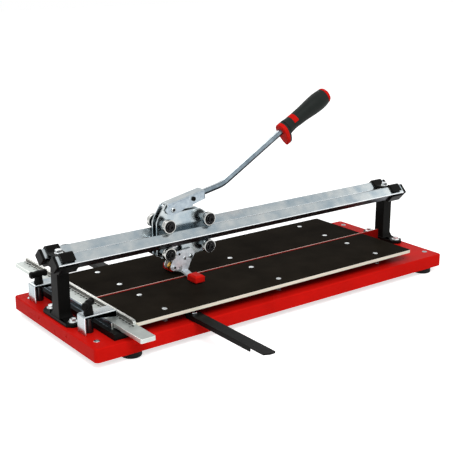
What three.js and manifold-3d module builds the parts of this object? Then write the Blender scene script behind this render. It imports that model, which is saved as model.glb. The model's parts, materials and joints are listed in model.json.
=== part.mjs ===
// Manual rail tile cutter: sheet tray, two sprung tables, twin diamond rails and a rolling carriage
// whose handle lowers a scoring wheel and a breaker foot.
// Millimetres. X runs along the cut, Y from front to rear, Z up; z = 0 is the tray's top face
// until the last lines stand the cutter on its feet.
import * as THREE from "three";
import { mergeVertices } from "three/addons/utils/BufferGeometryUtils.js";
import Module from "manifold-3d";

const wasm = await Module();
wasm.setup();

// ---- Driving dimensions -------------------------------------------------------------------------

const GAP = 0.3; // play between pieces that touch
const PIN_PLAY = 0.3; // radial play of a pin in its hole

const TABLE_LENGTH = 796;
const TABLE_DEPTH = 171;
const TABLE_THICKNESS = 7.8;
const TABLE_TOP = 27.6;
const TABLE_CORNER = 5;
const SEAM = 7.2; // gap between the two tables, over the breaking ridge
const SCREW_INSET_END = 88;
const SCREW_INSET_SEAM = 38.4;
const SCREW_INSET_EDGE = 32.6;
const SPRING_RADIUS = 7;
const SPRING_WIRE = 1.6;

const END_MARGIN = 102; // tray beyond the tables' ends
const SIDE_MARGIN = 12.4; // tray beyond the tables' long edges
const TRAY_HEIGHT = 30;
const TRAY_WALL = 2.5;
const TRAY_CORNER = 9;
const TRAY_EDGE = 3;
const APRON_HOLE_SPACING = 124;
const APRON_HOLE_RADIUS = 2.5;

const FOOT_RADIUS = 22.5;
const FOOT_DROP = 15;
const FOOT_INSET_LEFT = 95;
const FOOT_INSET_RIGHT = 43;
const FOOT_INSET_SIDE = 26;

const RIDGE_WIDTH = 5;
const RIDGE_PROUD = 0.9;
const RIDGE_FLANGE = 12;
const RIDGE_FLANGE_THICKNESS = 2.5;

const RAIL_SIDE = 25;
const RAIL_WALL = 2;
const RAIL_CORNER = 2.5;
const RAIL_GAP = 27; // clear way between the two rails
const RAIL_CENTRE = 132.5;
const CAP_THICKNESS = 6;
const CAP_LIP = 1; // cap edge beyond the rail's faces
const CAP_PLUG = 14;

const COLUMN_INSET = 24; // column axis from the tray's end
const COLUMN_X = 28;
const COLUMN_Y = 30;
const SEAT_X = 42; // rail seats on the columns, along the rails
const SEAT_SHEET = 4.5; // below the rails' lowest edges
const FLANGE_X = 36;
const FLANGE_Y = 128;
const FLANGE_THICKNESS = 8;
const FLANGE_CHAMFER = 12;
const SKIRT_HEIGHT = 10;
const CLAMP_WIDTH = 31;
const CLAMP_SHEET = 5;
const CLAMP_WRAP = 10.6; // how far the strap reaches down from the rails' top edges
const CLAMP_BOLT = 4;

const WHEELBASE = 107;
const CARRIAGE_X = -170;
const ROLLER_RADIUS = 15.5;
const ROLLER_GROOVE = 0.8;
const ROLLER_WIDTH = 11;
const ROLLER_BORE = 5;
const LOWER_ROLLER_PLAY = 1.5;
const PLATE_SHEET = 3.5;
const PLATE_SPREAD = 8.5; // middle of each side plate from the carriage's middle

const HANDLE_PIVOT = [-30, 30]; // from the carriage's middle and the upper rollers' axles
const HANDLE_PIN = 5;
const BRACKET_WIDTH = 29;
const BRACKET_SHEET = 3;
const BRACKET_SLOPE = THREE.MathUtils.degToRad(11);
const HANDLE_SLOPE = THREE.MathUtils.degToRad(30.5);
const BRACKET_BACK = 11.5; // from the pivot to the left end of the bracket's top
const BRACKET_REACH = 84; // from the pivot to the bracket's right end
const BRACKET_RISE = 17.5; // top face above the pivot, at the pivot
const ROD_BOLT = 54; // from the pivot to the bolt through the bar
const ROD_SIDE = 7.5; // side of the hexagonal bar
const ROD_TO_BEND = 60.7; // from the bracket's right end, along X
const ROD_TO_GRIP = 200; // from the bend to the guard
const GRIP_SLOPE = THREE.MathUtils.degToRad(28.4); // the grip droops a little from the bar
const GRIP_LENGTH = 162;
const ROD_IN_GRIP = 70;
const HANDLE_TRAVEL = THREE.MathUtils.degToRad(55);

const WHEEL_RADIUS = 10;
const WHEEL_AXLE = [-30, 32.4]; // from the carriage's middle and the tables' top
const ARM_PIVOT = [14.7, 50.5];
const ARM_SPACER = [-18, 61.7];
const ARM_TRAVEL = THREE.MathUtils.degToRad(24);
const ARM_SHEET = 3;
const ARM_PIN = 4;
const LINK_START = THREE.MathUtils.degToRad(20); // link pin above level at rest
const LINK_WIDTH = 10;
const LINK_THICKNESS = 6;
const LINK_PIN = 3;
const LUG_SHEET = 2.6; // ears under the bracket's top that hold the link
const BREAKER_TRAVEL = 5;
const BAR_WIDTH = 16; // breaker bar, along X
const BAR_SHEET = 4.5;
const BAR_CROWN = 16.9; // breaker bar's top above the tables, at its middle
const BAR_FLAT = 6; // half its level middle, before it slopes down to the pads
const BAR_SLOPE = THREE.MathUtils.degToRad(15);
const BAR_IN_PAD = 6.5;
const PAD_X = 25;
const PAD_Y = 33;
const PAD_Z = 18;
const PAD_CHAMFER = 3.5;
const PAD_SPREAD = 50; // from the ridge to a pad's middle
const PAD_CLEAR = 1.4; // pads above the tables at rest

const RULER_WIDTH = 34.3;
const RULER_THICKNESS = 9;
const RULER_LENGTH = 572;
const RULER_FRONT = 60.5; // beyond the tray's front edge
const FENCE_WIDTH = 6.9;
const FENCE_HEIGHT = 8.5;
const GUIDE_HEIGHT = 12.1;
const GUIDE_SHEET = 3;
const GUIDE_OVERHANG = 16; // black bar left of the ruler
const BRACKET_FEET = [-100, 126]; // ruler clamps, along Y
const RULER_CLAMP_SHEET = 3;
const RULER_CLAMP_WIDTH = 32;
const RULER_CLAMP_HEIGHT = 41;
const STUD_RADIUS = 4;
const STUD_INSET = 34; // clamp studs from the tray's left end
const STUD_TOP = 62;
const KNOB_REACH = 21; // from a wing knob's axis to its tip
const KNOB_TURN = [38, 4]; // degrees each wing knob is left turned

const ARM_LENGTH = 270;
const ARM_WIDTH = 28;
const SUPPORT_SHEET = 3;
const ARM_ROOT_X = -254;
const ARM_ROOT_INSET = 19;
const ARM_TOP = 12.5;
const ARM_FLANGE_STOP = 48;

// ---- Sizes that follow --------------------------------------------------------------------------

const trayLength = TABLE_LENGTH + 2 * END_MARGIN;
const trayWidth = 2 * TABLE_DEPTH + SEAM + 2 * SIDE_MARGIN;
const tableEnd = TABLE_LENGTH / 2;
const tableInner = SEAM / 2;
const tableOuter = tableInner + TABLE_DEPTH;
const tableUnder = TABLE_TOP - TABLE_THICKNESS;
const screwX = tableEnd - SCREW_INSET_END;
const screwRows = [tableInner + SCREW_INSET_SEAM, tableOuter - SCREW_INSET_EDGE];

const railHalf = RAIL_SIDE / Math.SQRT2;
const railY = RAIL_GAP / 2 + railHalf;
const railCrown = railHalf - RAIL_CORNER * (Math.SQRT2 - 1); // top of the rounded edge
const columnX = trayLength / 2 - COLUMN_INSET;
const strapFloor = RAIL_CENTRE + railHalf - CLAMP_WRAP;

const rollerSeat = ROLLER_RADIUS - ROLLER_GROOVE;
const upperZ = RAIL_CENTRE + railCrown + rollerSeat + GAP;
const lowerZ = RAIL_CENTRE - railCrown - rollerSeat - LOWER_ROLLER_PLAY;
const plateFace = PLATE_SPREAD + PLATE_SHEET / 2;
const plateInner = PLATE_SPREAD - PLATE_SHEET / 2;
const pivot = [CARRIAGE_X + HANDLE_PIVOT[0], upperZ + HANDLE_PIVOT[1]];
const bracketTop = (x) => pivot[1] + BRACKET_RISE + (x - pivot[0]) * Math.tan(BRACKET_SLOPE);
const wheelAt = [CARRIAGE_X + WHEEL_AXLE[0], TABLE_TOP + WHEEL_AXLE[1]];
const armAt = [CARRIAGE_X + ARM_PIVOT[0], TABLE_TOP + ARM_PIVOT[1]];
const spacerAt = [CARRIAGE_X + ARM_SPACER[0], TABLE_TOP + ARM_SPACER[1]];
const armFace = plateFace + 1.3;
const bracketInner = BRACKET_WIDTH / 2 - BRACKET_SHEET;

// The link's upper pin drops as far as the arm's spacer does over the handle's travel.
const spacerTurned = turned2(spacerAt, armAt, ARM_TRAVEL);
const linkSweep = Math.sin(LINK_START) + Math.sin(HANDLE_TRAVEL - LINK_START);
const linkRadius = (spacerAt[1] - spacerTurned[1]) / linkSweep;
const linkAt = [
  pivot[0] - linkRadius * Math.cos(LINK_START),
  pivot[1] + linkRadius * Math.sin(LINK_START),
];

const rulerRight = -tableEnd - 0.6;
const rulerLeft = rulerRight - RULER_WIDTH;
const rulerUnder = GAP + GUIDE_HEIGHT + GAP + GUIDE_SHEET + GAP;
const rulerTop = rulerUnder + RULER_THICKNESS;
const rulerFront = -trayWidth / 2 - RULER_FRONT;
const studX = -trayLength / 2 + STUD_INSET;
const armRootY = trayWidth / 2 - ARM_ROOT_INSET;

// ---- Helpers ------------------------------------------------------------------------------------

function turned2([x, z], [cx, cz], angle) {
  const dx = x - cx;
  const dz = z - cz;
  const cos = Math.cos(angle);
  const sin = Math.sin(angle);
  return [cx + dx * cos - dz * sin, cz + dx * sin + dz * cos];
}

// A manifold solid from any closed three.js geometry.
function solid(geometry) {
  const bare = new THREE.BufferGeometry();
  bare.setAttribute("position", geometry.getAttribute("position"));
  if (geometry.index) bare.setIndex(geometry.index);
  const merged = mergeVertices(bare, 1e-4);
  const corners = merged.index.array;
  const triangles = [];
  for (let i = 0; i < corners.length; i += 3) {
    const [a, b, c] = [corners[i], corners[i + 1], corners[i + 2]];
    if (a !== b && b !== c && c !== a) triangles.push(a, b, c);
  }
  const mesh = new wasm.Mesh({
    numProp: 3,
    vertProperties: Float32Array.from(merged.getAttribute("position").array),
    triVerts: Uint32Array.from(triangles),
  });
  return new wasm.Manifold(mesh);
}

function shapeOf(outline) {
  if (outline instanceof THREE.Shape) return outline;
  return new THREE.Shape(outline.map(([a, b]) => new THREE.Vector2(a, b)));
}

const TO_X = new THREE.Matrix4().makeBasis(
  new THREE.Vector3(0, 1, 0),
  new THREE.Vector3(0, 0, 1),
  new THREE.Vector3(1, 0, 0),
);
const TO_Y = new THREE.Matrix4().makeBasis(
  new THREE.Vector3(1, 0, 0),
  new THREE.Vector3(0, 0, 1),
  new THREE.Vector3(0, -1, 0),
);

function extruded(outline, depth, curveSegments) {
  return new THREE.ExtrudeGeometry(shapeOf(outline), { depth, bevelEnabled: false, curveSegments });
}

// Prisms: an outline in (y, z) along X, in (x, z) along Y, or in (x, y) along Z.
function alongX(outline, from, to, curveSegments = 10) {
  const geometry = extruded(outline, to - from, curveSegments).applyMatrix4(TO_X);
  return solid(geometry.translate(from, 0, 0));
}

function alongY(outline, from, to, curveSegments = 10) {
  const geometry = extruded(outline, to - from, curveSegments).applyMatrix4(TO_Y);
  return solid(geometry.translate(0, to, 0));
}

function alongZ(outline, from, to, curveSegments = 10) {
  return solid(extruded(outline, to - from, curveSegments).translate(0, 0, from));
}

function circle(a, b, radius) {
  const shape = new THREE.Shape();
  shape.absarc(a, b, radius, 0, 2 * Math.PI);
  return shape;
}

function ring(a, b, outer, inner) {
  const shape = circle(a, b, outer);
  shape.holes.push(circle(a, b, inner));
  return shape;
}

function rectangle(a0, a1, b0, b1) {
  return [[a0, b0], [a1, b0], [a1, b1], [a0, b1]];
}

function hexagon(a, b, radius, turn = 0) {
  return Array.from({ length: 6 }, (_, i) => {
    const angle = turn + (i * Math.PI) / 3;
    return [a + radius * Math.cos(angle), b + radius * Math.sin(angle)];
  });
}

function roundedRectangle(width, height, radius) {
  const x = width / 2;
  const y = height / 2;
  const shape = new THREE.Shape();
  shape.moveTo(x - radius, -y);
  shape.absarc(x - radius, -y + radius, radius, -Math.PI / 2, 0);
  shape.absarc(x - radius, y - radius, radius, 0, Math.PI / 2);
  shape.absarc(-x + radius, y - radius, radius, Math.PI / 2, Math.PI);
  shape.absarc(-x + radius, -y + radius, radius, Math.PI, 1.5 * Math.PI);
  shape.closePath();
  return shape;
}

// A square standing on its corner, as the rails' section does.
function diamond(a, b, side, radius) {
  const inner = side / Math.SQRT2 - radius * Math.SQRT2;
  const shape = new THREE.Shape();
  const start = Math.PI / 4;
  [[inner, 0], [0, inner], [-inner, 0], [0, -inner]].forEach(([da, db], i) => {
    const from = -start + (i * Math.PI) / 2;
    shape.absarc(a + da, b + db, radius, from, from + Math.PI / 2);
  });
  shape.closePath();
  return shape;
}

// Closed outline of a sheet of even thickness folded along the points.
function foldedSheet(points, thickness) {
  const left = [];
  const right = [];
  const path = points.map(([a, b]) => new THREE.Vector2(a, b));
  path.forEach((point, i) => {
    const before = path[Math.max(i - 1, 0)];
    const after = path[Math.min(i + 1, path.length - 1)];
    const into = (i > 0 ? point.clone().sub(before) : after.clone().sub(point)).normalize();
    const out = (i < path.length - 1 ? after.clone().sub(point) : into.clone()).normalize();
    const along = into.clone().add(out).normalize();
    const reach = thickness / 2 / along.dot(into);
    left.push([point.x - along.y * reach, point.y + along.x * reach]);
    right.unshift([point.x + along.y * reach, point.y - along.x * reach]);
  });
  return [...left, ...right];
}

// A turned solid about Z from (radius, height) points, bottom to top on its outside.
function turned(profile, segments = 28) {
  const points = profile.map(([radius, height]) => new THREE.Vector2(radius, height));
  return solid(new THREE.LatheGeometry(points, segments).rotateX(Math.PI / 2));
}

// The straight bar with two round ends between two points.
function linkOutline([ax, az], [bx, bz], radius) {
  const angle = Math.atan2(bz - az, bx - ax);
  const shape = new THREE.Shape();
  shape.absarc(bx, bz, radius, angle - Math.PI / 2, angle + Math.PI / 2);
  shape.absarc(ax, az, radius, angle + Math.PI / 2, angle + 1.5 * Math.PI);
  shape.closePath();
  return shape;
}

function joined(...solids) {
  return solids.reduce((all, one) => all.add(one));
}

function cut(body, ...tools) {
  return tools.reduce((left, tool) => left.subtract(tool), body);
}

function mirroredY(body) {
  return body.mirror([0, 1, 0]);
}

function finish(color, roughness, metalness) {
  return { color, roughness, metalness };
}

const RED_PAINT = finish(0xbe1c18, 0.35, 0.1);
const BLACK_PAINT = finish(0x141516, 0.4, 0.2);
const BLACK_PLASTIC = finish(0x18191a, 0.5, 0);
const RED_PLASTIC = finish(0xc4201c, 0.35, 0);
const RUBBER = finish(0x121212, 0.8, 0);
const ZINC = finish(0xb9c2cc, 0.35, 0.9);
const ALUMINIUM = finish(0xc4c4bf, 0.4, 0.9);
const STEEL = finish(0xa9adb2, 0.3, 1);
const POLISHED = finish(0xd6d2c8, 0.15, 1);
const FILM_BOARD = finish(0x2b2825, 0.35, 0);
const GOLD_CARBIDE = finish(0xc9a24a, 0.25, 1);

const cutter = new THREE.Group();

function piece(name, body, look, parent = cutter) {
  const data = body.getMesh();
  const geometry = new THREE.BufferGeometry();
  geometry.setAttribute("position", new THREE.BufferAttribute(data.vertProperties, 3));
  geometry.setIndex(new THREE.BufferAttribute(data.triVerts, 1));
  geometry.computeVertexNormals();
  const mesh = new THREE.Mesh(geometry, new THREE.MeshStandardMaterial(look));
  mesh.name = name;
  parent.add(mesh);
  return mesh;
}

const SIDES = [["front", -1], ["rear", 1]];
const ENDS = [["left", -1], ["right", 1]];

// ---- Tray, feet, ridge --------------------------------------------------------------------------

function trayBody() {
  const outline = roundedRectangle(trayLength, trayWidth, TRAY_CORNER);
  const bevelled = new THREE.ExtrudeGeometry(outline, {
    depth: TRAY_HEIGHT,
    bevelEnabled: true,
    bevelThickness: TRAY_EDGE,
    bevelSize: TRAY_EDGE,
    bevelOffset: -TRAY_EDGE,
    bevelSegments: 3,
    curveSegments: 5,
  });
  const shell = solid(bevelled.translate(0, 0, -TRAY_HEIGHT - TRAY_EDGE));
  const below = alongZ(rectangle(-trayLength, trayLength, -trayWidth, trayWidth), -90, -TRAY_HEIGHT);
  const pocket = alongZ(
    roundedRectangle(trayLength - 2 * TRAY_WALL, trayWidth - 2 * TRAY_WALL, TRAY_CORNER - TRAY_WALL),
    -TRAY_HEIGHT - 1,
    -TRAY_WALL,
    5,
  );
  const holes = [-1, 1].map((side) => {
    const hole = circle((side * APRON_HOLE_SPACING) / 2, -TRAY_HEIGHT / 2, APRON_HOLE_RADIUS);
    return alongX(hole, -trayLength / 2 - 1, -trayLength / 2 + TRAY_WALL + 1, 6);
  });
  const studs = BRACKET_FEET.map((y) => alongZ(circle(studX, y, STUD_RADIUS), -TRAY_WALL, STUD_TOP, 6));
  const rivets = [-armRootY, armRootY].map((y) => armRivetBody(ARM_ROOT_X, y));
  return joined(cut(shell, below, pocket, ...holes), ...studs, ...rivets);
}

// A support arm turns on the shank of its shoulder rivet, under the rivet's head.
function armRivetBody(x, y) {
  return joined(
    alongZ(circle(x, y, 7.5), -TRAY_WALL, ARM_TOP - SUPPORT_SHEET - GAP, 8),
    alongZ(circle(x, y, ARM_PIN), 0, ARM_TOP + 2, 7),
    alongZ(circle(x, y, 7), ARM_TOP + GAP, ARM_TOP + 3.2, 8),
  );
}

function footBody() {
  const top = -TRAY_WALL - GAP;
  const bottom = -TRAY_HEIGHT - FOOT_DROP;
  return turned([
    [0, bottom],
    [FOOT_RADIUS - 2, bottom],
    [FOOT_RADIUS, bottom + 2],
    [FOOT_RADIUS, -TRAY_HEIGHT],
    [FOOT_RADIUS - 3, top],
    [0, top],
  ]);
}

function ridgeBody() {
  const half = RIDGE_WIDTH / 2;
  const crest = TABLE_TOP + RIDGE_PROUD - half;
  const foot = GAP + RIDGE_FLANGE_THICKNESS;
  const shape = new THREE.Shape();
  shape.moveTo(-RIDGE_FLANGE, GAP);
  shape.lineTo(RIDGE_FLANGE, GAP);
  shape.lineTo(RIDGE_FLANGE, foot);
  shape.lineTo(half, foot);
  shape.absarc(0, crest, half, 0, Math.PI);
  shape.lineTo(-half, foot);
  shape.lineTo(-RIDGE_FLANGE, foot);
  return alongX(shape, -tableEnd + 2, columnX - FLANGE_X / 2 - GAP, 6);
}

piece("base_tray", trayBody(), RED_PAINT);
for (const [side, y] of SIDES) {
  for (const [end, x] of ENDS) {
    const inset = x < 0 ? FOOT_INSET_LEFT : FOOT_INSET_RIGHT;
    const foot = piece(`foot_${side}_${end}`, footBody(), RUBBER);
    foot.position.set(x * (trayLength / 2 - inset), y * (trayWidth / 2 - FOOT_INSET_SIDE), 0);
  }
}
piece("breaking_ridge", ridgeBody(), RED_PAINT);

// ---- Sprung tables ------------------------------------------------------------------------------

function tableBody() {
  const outline = roundedRectangle(TABLE_LENGTH, TABLE_DEPTH, TABLE_CORNER);
  return alongZ(outline, tableUnder, TABLE_TOP, 3);
}

function springBody() {
  return alongZ(ring(0, 0, SPRING_RADIUS, SPRING_RADIUS - SPRING_WIRE), GAP, tableUnder - GAP, 7);
}

for (const [side, y] of SIDES) {
  const table = piece(`table_${side}`, tableBody(), FILM_BOARD);
  table.position.y = (y * (tableInner + tableOuter)) / 2;
  for (const [end, x] of ENDS) {
    ["inner", "outer"].forEach((row, i) => {
      const spring = piece(`table_spring_${side}_${end}_${row}`, springBody(), STEEL);
      spring.position.set(x * screwX, y * screwRows[i], 0);
    });
  }
}

// ---- Columns, rails, caps, clamps ---------------------------------------------------------------

function columnBody() {
  const [fx, fy, c] = [FLANGE_X / 2, FLANGE_Y / 2, FLANGE_CHAMFER];
  const flange = alongZ(
    [[-fx, -fy + c], [-fx + c, -fy], [fx - c, -fy], [fx, -fy + c],
      [fx, fy - c], [fx - c, fy], [-fx + c, fy], [-fx, fy - c]],
    GAP,
    GAP + FLANGE_THICKNESS,
  );
  const skirtTop = GAP + FLANGE_THICKNESS + SKIRT_HEIGHT;
  const skirt = alongX(
    [[-COLUMN_Y / 2 - SKIRT_HEIGHT, GAP], [COLUMN_Y / 2 + SKIRT_HEIGHT, GAP],
      [COLUMN_Y / 2, skirtTop], [-COLUMN_Y / 2, skirtTop]],
    -fx,
    fx,
  ).intersect(alongY(
    [[-fx, GAP], [fx, GAP], [COLUMN_X / 2, skirtTop], [-COLUMN_X / 2, skirtTop]],
    -fy,
    fy,
  ));
  const saddleTop = RAIL_CENTRE - 3.5;
  const bridgeUnder = RAIL_CENTRE - 15;
  const seatUnder = RAIL_CENTRE - railHalf - SEAT_SHEET;
  const post = alongZ(
    rectangle(-COLUMN_X / 2, COLUMN_X / 2, -COLUMN_Y / 2, COLUMN_Y / 2),
    GAP,
    bridgeUnder + 3,
  );
  const half = [
    [COLUMN_Y / 2 - 1, bridgeUnder],
    [railY - 2, seatUnder],
    [railY + 4, seatUnder],
    [railY + railHalf + 2, RAIL_CENTRE - 5],
    [railY + railHalf - 0.5, saddleTop],
  ];
  const sx = SEAT_X / 2;
  const head = alongX([...half, ...half.map(([y, z]) => [-y, z]).reverse()], -sx, sx);
  const seats = [-1, 1].map((side) => {
    return alongX(diamond(side * railY, RAIL_CENTRE, RAIL_SIDE + 2 * GAP, RAIL_CORNER), -sx - 1, sx + 1, 4);
  });
  const hole = alongZ(circle(0, 0, CLAMP_BOLT + PIN_PLAY), saddleTop - 16, saddleTop + 1, 6);
  return cut(joined(flange, skirt, post, head), ...seats, hole);
}

function railBody() {
  const section = diamond(0, 0, RAIL_SIDE, RAIL_CORNER);
  section.holes.push(diamond(0, 0, RAIL_SIDE - 2 * RAIL_WALL, RAIL_CORNER / 2));
  return alongX(section, -trayLength / 2, trayLength / 2, 3);
}

function capBody() {
  const plate = alongX(diamond(0, 0, RAIL_SIDE + 2 * CAP_LIP, RAIL_CORNER), GAP, GAP + CAP_THICKNESS, 3);
  const plug = diamond(0, 0, RAIL_SIDE - 2 * RAIL_WALL - 2 * GAP, RAIL_CORNER / 2);
  return joined(plate, alongX(plug, -CAP_PLUG, GAP + 1, 3));
}

// The strap follows both rails' upper faces and dips between them to the bolt.
function clampBody() {
  const half = CLAMP_WIDTH / 2;
  const outer = RAIL_SIDE + 2 * (GAP + CLAMP_SHEET);
  const shells = [-1, 1].map((side) => {
    return alongX(diamond(side * railY, RAIL_CENTRE, outer, RAIL_CORNER + CLAMP_SHEET), -half, half, 4);
  });
  const bridge = alongX(rectangle(-railY + 8, railY - 8, strapFloor, strapFloor + CLAMP_SHEET), -half, half);
  const ways = [-1, 1].map((side) => {
    return alongX(diamond(side * railY, RAIL_CENTRE, RAIL_SIDE + 2 * GAP, RAIL_CORNER), -99, 99, 4);
  });
  const under = alongX(rectangle(-99, 99, 0, strapFloor), -99, 99);
  const hole = alongZ(circle(0, 0, CLAMP_BOLT + PIN_PLAY), 0, 300, 6);
  return cut(joined(...shells, bridge), ...ways, under, hole);
}

function clampBoltBody() {
  const seat = strapFloor + CLAMP_SHEET + GAP;
  return joined(
    alongZ(circle(0, 0, CLAMP_BOLT), RAIL_CENTRE - 19, seat + 1, 6),
    alongZ(circle(0, 0, 2.2 * CLAMP_BOLT), seat, seat + 1.8, 8),
    alongZ(hexagon(0, 0, 1.85 * CLAMP_BOLT), seat, seat + 8),
  );
}

for (const [side, y] of SIDES) {
  const rail = piece(`rail_${side}`, railBody(), ZINC);
  rail.position.set(0, y * railY, RAIL_CENTRE);
  for (const [end, x] of ENDS) {
    const cap = piece(`rail_cap_${side}_${end}`, capBody(), BLACK_PLASTIC);
    cap.position.set((x * trayLength) / 2, y * railY, RAIL_CENTRE);
    if (x < 0) cap.rotation.z = Math.PI;
  }
}
for (const [end, x] of ENDS) {
  piece(`column_${end}`, columnBody(), BLACK_PAINT).position.x = x * columnX;
  piece(`rail_clamp_${end}`, clampBody(), BLACK_PAINT).position.x = x * columnX;
  piece(`clamp_bolt_${end}`, clampBoltBody(), ZINC).position.x = x * columnX;
}

// ---- Carriage -----------------------------------------------------------------------------------

const axles = [
  ["upper_left", -WHEELBASE / 2, upperZ],
  ["upper_right", WHEELBASE / 2, upperZ],
  ["lower_left", -WHEELBASE / 2, lowerZ],
  ["lower_right", WHEELBASE / 2, lowerZ],
].map(([name, dx, z]) => [name, CARRIAGE_X + dx, z]);

// The plates run inside the bracket, so round the pivot they are cut back to an eye, and its top
// swings through the slot between that eye and the plates' left edge.
function sideOutline() {
  const left = CARRIAGE_X - WHEELBASE / 2;
  const right = CARRIAGE_X + WHEELBASE / 2;
  const [px, pz] = pivot;
  const [ax, az] = armAt;
  const down = BRACKET_SHEET / Math.cos(BRACKET_SLOPE);
  const eye = (BRACKET_RISE - down) * Math.cos(BRACKET_SLOPE) - 1.2;
  const swing = Math.hypot(BRACKET_BACK, bracketTop(px - BRACKET_BACK) - pz) + 1.3;
  const arc = (radius, from, to, steps) => Array.from({ length: steps + 1 }, (_, i) => {
    const angle = THREE.MathUtils.degToRad(from + ((to - from) * i) / steps);
    return [px + radius * Math.cos(angle), pz + radius * Math.sin(angle)];
  });
  return [
    [left - 18, lowerZ - 4],
    [left - 7, lowerZ - 14],
    [left + 8, lowerZ - 15],
    [left + 18, lowerZ - 6],
    [left + 22, RAIL_CENTRE - 9],
    [ax - 20, RAIL_CENTRE - 9],
    [ax - 20, az],
    [ax - 9, az - 9],
    [ax + 7, az - 9],
    [ax + 14, az + 3],
    [right - 8, lowerZ - 16],
    [right + 8, lowerZ - 15],
    [right + 13, lowerZ - 6],
    [right + 13, upperZ + 1],
    [right + 4.5, upperZ + 13],
    [right - 8.4, upperZ + 21],
    [px + 21, upperZ + 21],
    ...arc(eye, -28, 199, 10),
    ...arc(swing, 197, 143, 4),
    [px - 20, pz + 12.2],
    [px - 37.7, pz - 15.7],
    [left - 18, upperZ + 4.5],
  ];
}

function axleBody(x, z) {
  const rollerInner = railY - ROLLER_WIDTH / 2;
  const rollerOuter = railY + ROLLER_WIDTH / 2;
  const headEnd = rollerOuter + GAP + 6;
  return joined(
    alongY(hexagon(x, z, 7.5), plateInner - 4, plateInner + 1),
    alongY(circle(x, z, ROLLER_BORE - PIN_PLAY), plateInner, headEnd - 1, 6),
    alongY(hexagon(x, z, 8.5), plateFace - 1, plateFace + 6),
    alongY(circle(x, z, 7), plateFace + 5, rollerInner - GAP, 6),
    alongY(circle(x, z, 6.4), rollerOuter + GAP, headEnd, 6),
  );
}

function sidePlateBody() {
  const plate = alongY(sideOutline(), plateInner, plateFace);
  const holes = [
    alongY(circle(pivot[0], pivot[1], HANDLE_PIN + PIN_PLAY), 0, 60),
    alongY(circle(armAt[0], armAt[1], ARM_PIN + PIN_PLAY), 0, 60, 7),
  ];
  return joined(cut(plate, ...holes), ...axles.map(([, x, z]) => axleBody(x, z)));
}

function rollerBody() {
  const half = ROLLER_WIDTH / 2;
  const profile = [
    [ROLLER_BORE, -half],
    [ROLLER_RADIUS, -half],
    [ROLLER_RADIUS, -2.5],
    [rollerSeat, 0],
    [ROLLER_RADIUS, 2.5],
    [ROLLER_RADIUS, half],
    [ROLLER_BORE, half],
    [ROLLER_BORE, -half],
  ];
  return turned(profile, 24).rotate([90, 0, 0]);
}

function blockBody() {
  const half = plateInner - GAP;
  const x = CARRIAGE_X + 10;
  return alongX(rectangle(-half, half, RAIL_CENTRE - 8, RAIL_CENTRE + 13), x, x + 35);
}

for (const [side, y] of SIDES) {
  const plate = sidePlateBody();
  piece(`carriage_plate_${side}`, y > 0 ? plate : mirroredY(plate), ZINC);
  for (const [name, x, z] of axles) {
    const roller = piece(`roller_${side}_${name}`, rollerBody(), POLISHED);
    roller.position.set(x, y * railY, z);
  }
}
piece("carriage_block", blockBody(), STEEL);

// ---- Handle -------------------------------------------------------------------------------------

const bracketLeft = pivot[0] - BRACKET_BACK;
const bracketRight = pivot[0] + BRACKET_REACH;
const rodDrop = (BRACKET_SHEET + GAP + ROD_SIDE) / Math.cos(BRACKET_SLOPE);
const rodAt = (x) => bracketTop(x) - rodDrop;
const rodBoltX = pivot[0] + ROD_BOLT;
const bendAt = [bracketRight + ROD_TO_BEND, rodAt(bracketRight + ROD_TO_BEND)];
const gripAt = [
  bendAt[0] + ROD_TO_GRIP * Math.cos(HANDLE_SLOPE),
  bendAt[1] + ROD_TO_GRIP * Math.sin(HANDLE_SLOPE),
];

function bracketBody() {
  const [px, pz] = pivot;
  const half = BRACKET_WIDTH / 2;
  const shape = new THREE.Shape();
  shape.moveTo(bracketLeft, bracketTop(bracketLeft));
  shape.lineTo(px - 17, pz + 7);
  shape.lineTo(px - 21.5, pz + 1);
  shape.lineTo(px - 13.5, pz - 8.5);
  shape.absarc(px, pz, 12.5, Math.PI * 1.24, Math.PI * 1.72);
  shape.lineTo(px + 20, pz - 6.5);
  shape.lineTo(px + 30, pz - 1.5);
  shape.lineTo(px + 50, pz - 0.5);
  shape.lineTo(px + 53, bracketTop(px + 53) - 24);
  shape.lineTo(bracketRight + 3, bracketTop(bracketRight) - 21);
  shape.lineTo(bracketRight, bracketTop(bracketRight));
  const down = BRACKET_SHEET / Math.cos(BRACKET_SLOPE);
  const hollow = [
    [px - 99, bracketTop(px - 99) - down],
    [px - 99, pz - 60],
    [px + 199, pz - 60],
    [px + 199, bracketTop(px + 199) - down],
  ];
  const channel = cut(alongY(shape, -half, half, 12), alongY(hollow, -bracketInner, bracketInner));
  const lugFace = LINK_THICKNESS / 2 + 2 * GAP;
  const [lx, lz] = linkAt;
  const lug = joined(
    alongY(circle(lx, lz, LINK_PIN + 2.6), lugFace, lugFace + LUG_SHEET, 7),
    alongY([[lx - 2, lz - 5], [lx + 5, lz - 2.4], [px - 2, bracketTop(px - 2) - down / 2],
      [bracketLeft, bracketTop(bracketLeft) - down / 2], [lx - 4.5, lz + 3]], lugFace, lugFace + LUG_SHEET),
  );
  const linkPin = alongY(circle(lx, lz, LINK_PIN), -lugFace - 1, lugFace + 1, 6);
  return cut(
    joined(channel, lug, mirroredY(lug), linkPin),
    alongY(circle(px, pz, HANDLE_PIN + PIN_PLAY), -60, 60),
    alongY(circle(rodBoltX, rodAt(rodBoltX), LINK_PIN + PIN_PLAY), -60, 60, 6),
  );
}

function pinBody(radius, face, headRadius, headDepth) {
  return joined(
    alongY(circle(0, 0, radius), -face - 1, face + 1, 8),
    alongY(circle(0, 0, headRadius), -face - headDepth, -face, 8),
    alongY(circle(0, 0, headRadius), face, face + headDepth, 8),
  );
}

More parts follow.
